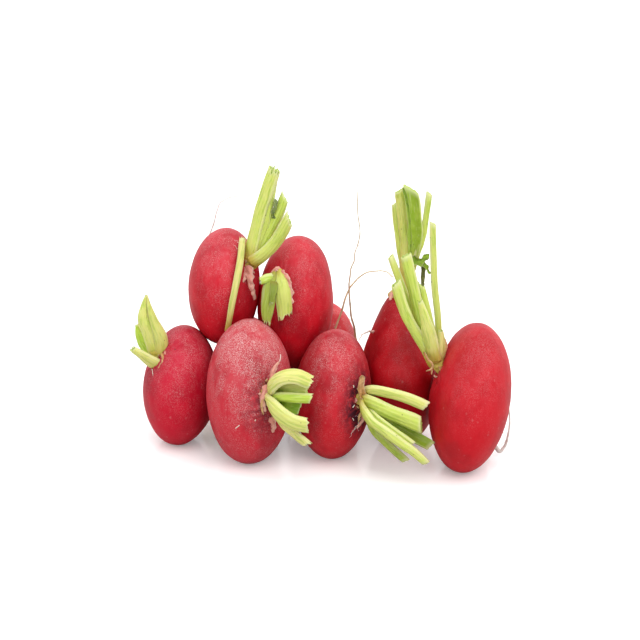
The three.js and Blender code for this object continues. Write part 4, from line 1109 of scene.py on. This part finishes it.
# Short pale flecks that lie on the skin, from end to end
FLECKS = {
    "left": [
        [[-44.8, 8.9, 23.2], [-44.5, 7.8, 22.3], [-44.3, 6.8, 21.2]],
    ],
    "front_left": [
        [[-21.9, -11.2, 14.6], [-21.3, -11.6, 15.2], [-20.8, -11.7, 15.7]],
        [[-10.5, -3.8, 30.3], [-10.3, -2.8, 30.9], [-10.3, -1.9, 31.5]],
        [[-16.8, -12.1, 17.0], [-16.7, -12.1, 17.2], [-16.6, -12.1, 17.4]],
    ],
    "front_middle": [
        [[8.7, -5.2, 24.2], [8.8, -5.3, 23.9], [8.8, -5.3, 23.6]],
        [[8.5, -6.4, 18.4], [8.8, -6.2, 18.7], [9.0, -5.9, 18.9]],
        [[8.5, -6.2, 15.3], [8.7, -6.1, 15.0], [8.8, -5.9, 14.6]],
        [[9.7, -4.1, 11.5], [10.1, -4.0, 12.2], [10.5, -3.6, 13.0]],
    ],
}

# Rags of green leaf, and withered ones, that still hang on two of the bundles
LEAF_SCRAPS = [
    dict(route=[[24.0, 14.2, 51.9], [26.2, 13.0, 52.0], [28.8, 13.4, 54.0]], wide=2.3, tip=0.5,
         opens=(0, -1, 0.4), ragged=0.5),
    dict(route=[[26.6, 13.2, 52.4], [27.8, 12.8, 50.8], [29.2, 13.2, 48.6]], wide=1.3, tip=0.5,
         opens=(0.3, -1, 0.2), ragged=0.5),
    dict(route=[[21.7, 14.6, 71.8], [22.6, 13.8, 69], [23.4, 13.6, 64.2], [23.8, 13.4, 57.6],
         [24.1, 13.4, 53.7]], wide=0.8, tip=0.6, opens=(0, -1, 0), ragged=0.2),
]

WITHERED_SCRAPS = [
    dict(route=[[27.4, 13.6, 51.7], [27.3, 14, 48], [27.3, 14.8, 44.5]], wide=1.2, tip=0.8,
         opens=(0, -1, 0), ragged=0.15),
    dict(route=[[-12.3, 14, 63.6], [-11.9, 13.6, 66.2], [-11.5, 13.4, 69.1]], wide=1, tip=1.2, thick=0.7,
         opens=(0, -1, 0), ragged=0.5),
]


def crown_scales(radish, count, seed):
    """The torn feet of old leaves: short blades that stand in a ring round the crown and lean outwards.
    Each has a seeded turn, distance, height and width."""
    draw = np.random.default_rng(seed)
    crown = unit(radish["crown"])
    side = unit(np.cross(crown, (0.2, 0.3, 1.0)))
    over = np.cross(crown, side)
    top = on_globe(radish, crown)
    axis = unit(top - radish["middle"])
    patches = []
    for number in range(count):
        turn = 2 * math.pi * (number + draw.uniform(-0.3, 0.3)) / count
        flat = math.cos(turn) * side + math.sin(turn) * over
        away = draw.uniform(0.15, 0.2)
        foot = on_globe(radish, unit(crown + away * flat), -0.1)
        out = unit(foot - top)
        tall = draw.uniform(0.7, 1.6)
        bent = foot + 0.45 * tall * axis + 0.1 * out
        route = [foot - 0.4 * axis, bent, foot + tall * axis + 0.5 * tall * out]
        width = draw.uniform(1.0, 1.6)
        patches.append(blade_patch(route, width, opens=out, tip=0.35, seed=seed + 10 * number))
    return patches


def soil_crumbs(radish, count, seed):
    """Specks of soil that lie on the skin round the crown, each a small rough ball at a seeded place."""
    draw = np.random.default_rng(seed)
    crown = unit(radish["crown"])
    patches = []
    for number in range(count):
        aside = draw.normal(size=3) * draw.uniform(0.25, 0.5)
        spot = on_globe(radish, unit(crown + 0.6 * aside), -0.1)
        patches.append(lump_patch(spot, draw.uniform(0.1, 0.22), seed + number, rough=0.3, steps=(7, 10)))
    return patches


def build_radish(name, radish, number, groups, materials):
    """One radish: its globe with its taproot, its bundle of stalks, and the scraps round its crown."""
    seed = 100 * (number + 1)
    speckle, fibres = groups
    skin = skin_material(f"Skin of the {name.replace('_', ' ')} radish", SKINS[name], speckle, fibres)
    globe = add_piece(f"{name}_radish", radish_patches(radish, seed), skin)
    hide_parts(f"radish_{name}")

    knot = on_globe(radish, unit(radish["crown"]), KNOT_LIFT)
    patches = [lump_patch(knot, KNOT_RADIUS, seed + 11, tone=0.15)]
    patches += [stalk_patch(stem, seed + 20 + k) for k, stem in enumerate(radish["stalks"])]
    bundle = add_piece(f"{name}_stalks", patches, materials["stalk"])
    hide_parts(f"stalks_{name}")

    pink = [blade_patch(seed=seed + 40 + k, **blade) for k, blade in enumerate(PINK_SHEATHS.get(name, []))]
    scales = crown_scales(radish, SCALE_COUNT, seed + 60)
    sheath = add_piece(f"{name}_sheaths", pink + scales[::2], materials["pink"])
    if name == "upper_left":
        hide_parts("husk_upper_left")

    brown = [blade_patch(seed=seed + 50 + k, **blade) for k, blade in enumerate(BROWN_SHEATHS.get(name, []))]
    husks = add_piece(f"{name}_husks", brown + scales[1::2], materials["brown"])
    if name == "front_middle":
        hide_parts("husk_front_middle")

    if name in HAIRS:
        strands = [hair_patch(route, seed=seed + 70 + k) for k, route in enumerate(HAIRS[name])]
        hairs = add_piece(f"{name}_hairs", strands, materials["hair"])
    if name in FLECKS:
        flecks = [hair_patch(route, wide=0.26, fine=0.2, seed=seed + 90 + k, bend=0.02)
                  for k, route in enumerate(FLECKS[name])]
        add_piece(f"{name}_flecks", flecks, materials["hair"])
    crumbs = add_piece(f"{name}_soil", soil_crumbs(radish, CRUMB_COUNT, seed + 80), materials["soil"])


def build_leaf_scraps(materials):
    """Green and withered rags of leaf, as a piece each."""
    patches = [blade_patch(seed=900 + k, **scrap) for k, scrap in enumerate(LEAF_SCRAPS)]
    rags = add_piece("leaf_scraps", patches, materials["leaf"])
    patches = [blade_patch(seed=930 + k, **scrap) for k, scrap in enumerate(WITHERED_SCRAPS)]
    withered = add_piece("withered_scraps", patches, materials["withered"])


# What the pile stands on, its light and the camera

CAMERA_PLACE = (-0.3, -536.33, 228.47)  # millimetres
CAMERA_DOWN = 20.0  # degrees
LENS = 119.0
FLOOR_HALF = 3000.0  # millimetres
SKY_STRENGTH = 1.14
LAMP_AIM = (-0.25, 0.55, -1.0)
LAMP_SPREAD = 50  # degrees
LAMP_STRENGTH = 1.3


def build_floor():
    """A wide flat white top, just under the pile."""
    mesh = bpy.data.meshes.new("table_top")
    half = FLOOR_HALF * METRE
    corners = [(-half, -half, 0), (half, -half, 0), (half, half, 0), (-half, half, 0)]
    mesh.from_pydata(corners, [], [(0, 1, 2, 3)])
    mesh.materials.append(floor_material())
    floor = bpy.data.objects.new("table_top", mesh)
    bpy.context.collection.objects.link(floor)


def add_soft_light(name, aim, spread, strength):
    """A far, broad light that shines along a direction, spread over some degrees."""
    light = bpy.data.lights.new(name, "SUN")
    light.angle = math.radians(spread)
    light.energy = strength
    lamp = bpy.data.objects.new(name, light)
    flat = math.hypot(aim[0], aim[1])
    lamp.rotation_euler = (math.pi / 2 + math.atan2(aim[2], flat), 0, math.atan2(-aim[0], aim[1]))
    bpy.context.collection.objects.link(lamp)


def build_light():
    """White surroundings, and one broad soft light from above the front, a little to the right."""
    world = bpy.data.worlds.new("White studio")
    world.use_nodes = True
    sky = world.node_tree.nodes["Background"]
    sky.inputs["Color"].default_value = (1, 1, 1, 1)
    sky.inputs["Strength"].default_value = SKY_STRENGTH
    bpy.context.scene.world = world
    add_soft_light("Main lamp", LAMP_AIM, LAMP_SPREAD, LAMP_STRENGTH)


def build_camera():
    """The photograph's view, from the front and a little above."""
    lens = bpy.data.cameras.new("camera")
    lens.lens = LENS
    lens.clip_start = 10 * METRE
    camera = bpy.data.objects.new("camera", lens)
    camera.location = [value * METRE for value in CAMERA_PLACE]
    camera.rotation_euler = (math.radians(90 - CAMERA_DOWN), 0, 0)
    bpy.context.collection.objects.link(camera)
    bpy.context.scene.camera = camera
    bpy.context.scene.view_settings.view_transform = "Standard"


build_camera()
build_light()
build_floor()
groups = (speckle_group(), fibre_group())
materials = {
    "stalk": stalk_material("Leaf stalk", groups[1]),
    "pink": sheath_material("Torn pink sheath", groups[1], "ea9a88", "f4bca6", "c06a66"),
    "brown": sheath_material("Dry brown husk", groups[1], "d29a5c", "e6bc84", "80502e"),
    "hair": sheath_material("Root hair", groups[1], "fff0de", "fff8ee", "e8ceb0"),
    "withered": sheath_material("Withered leaf", groups[1], "6c8038", "93a462", "34401a"),
    "leaf": sheath_material("Leaf rag", groups[1], "7c9e1e", "a0c434", "4a6410"),
    "soil": sheath_material("Soil crumb", groups[1], "5a4030", "6b4c38", "3a2820", 0.9),
}
for number, (name, radish) in enumerate(RADISHES.items()):
    build_radish(name, radish, number, groups, materials)
build_leaf_scraps(materials)
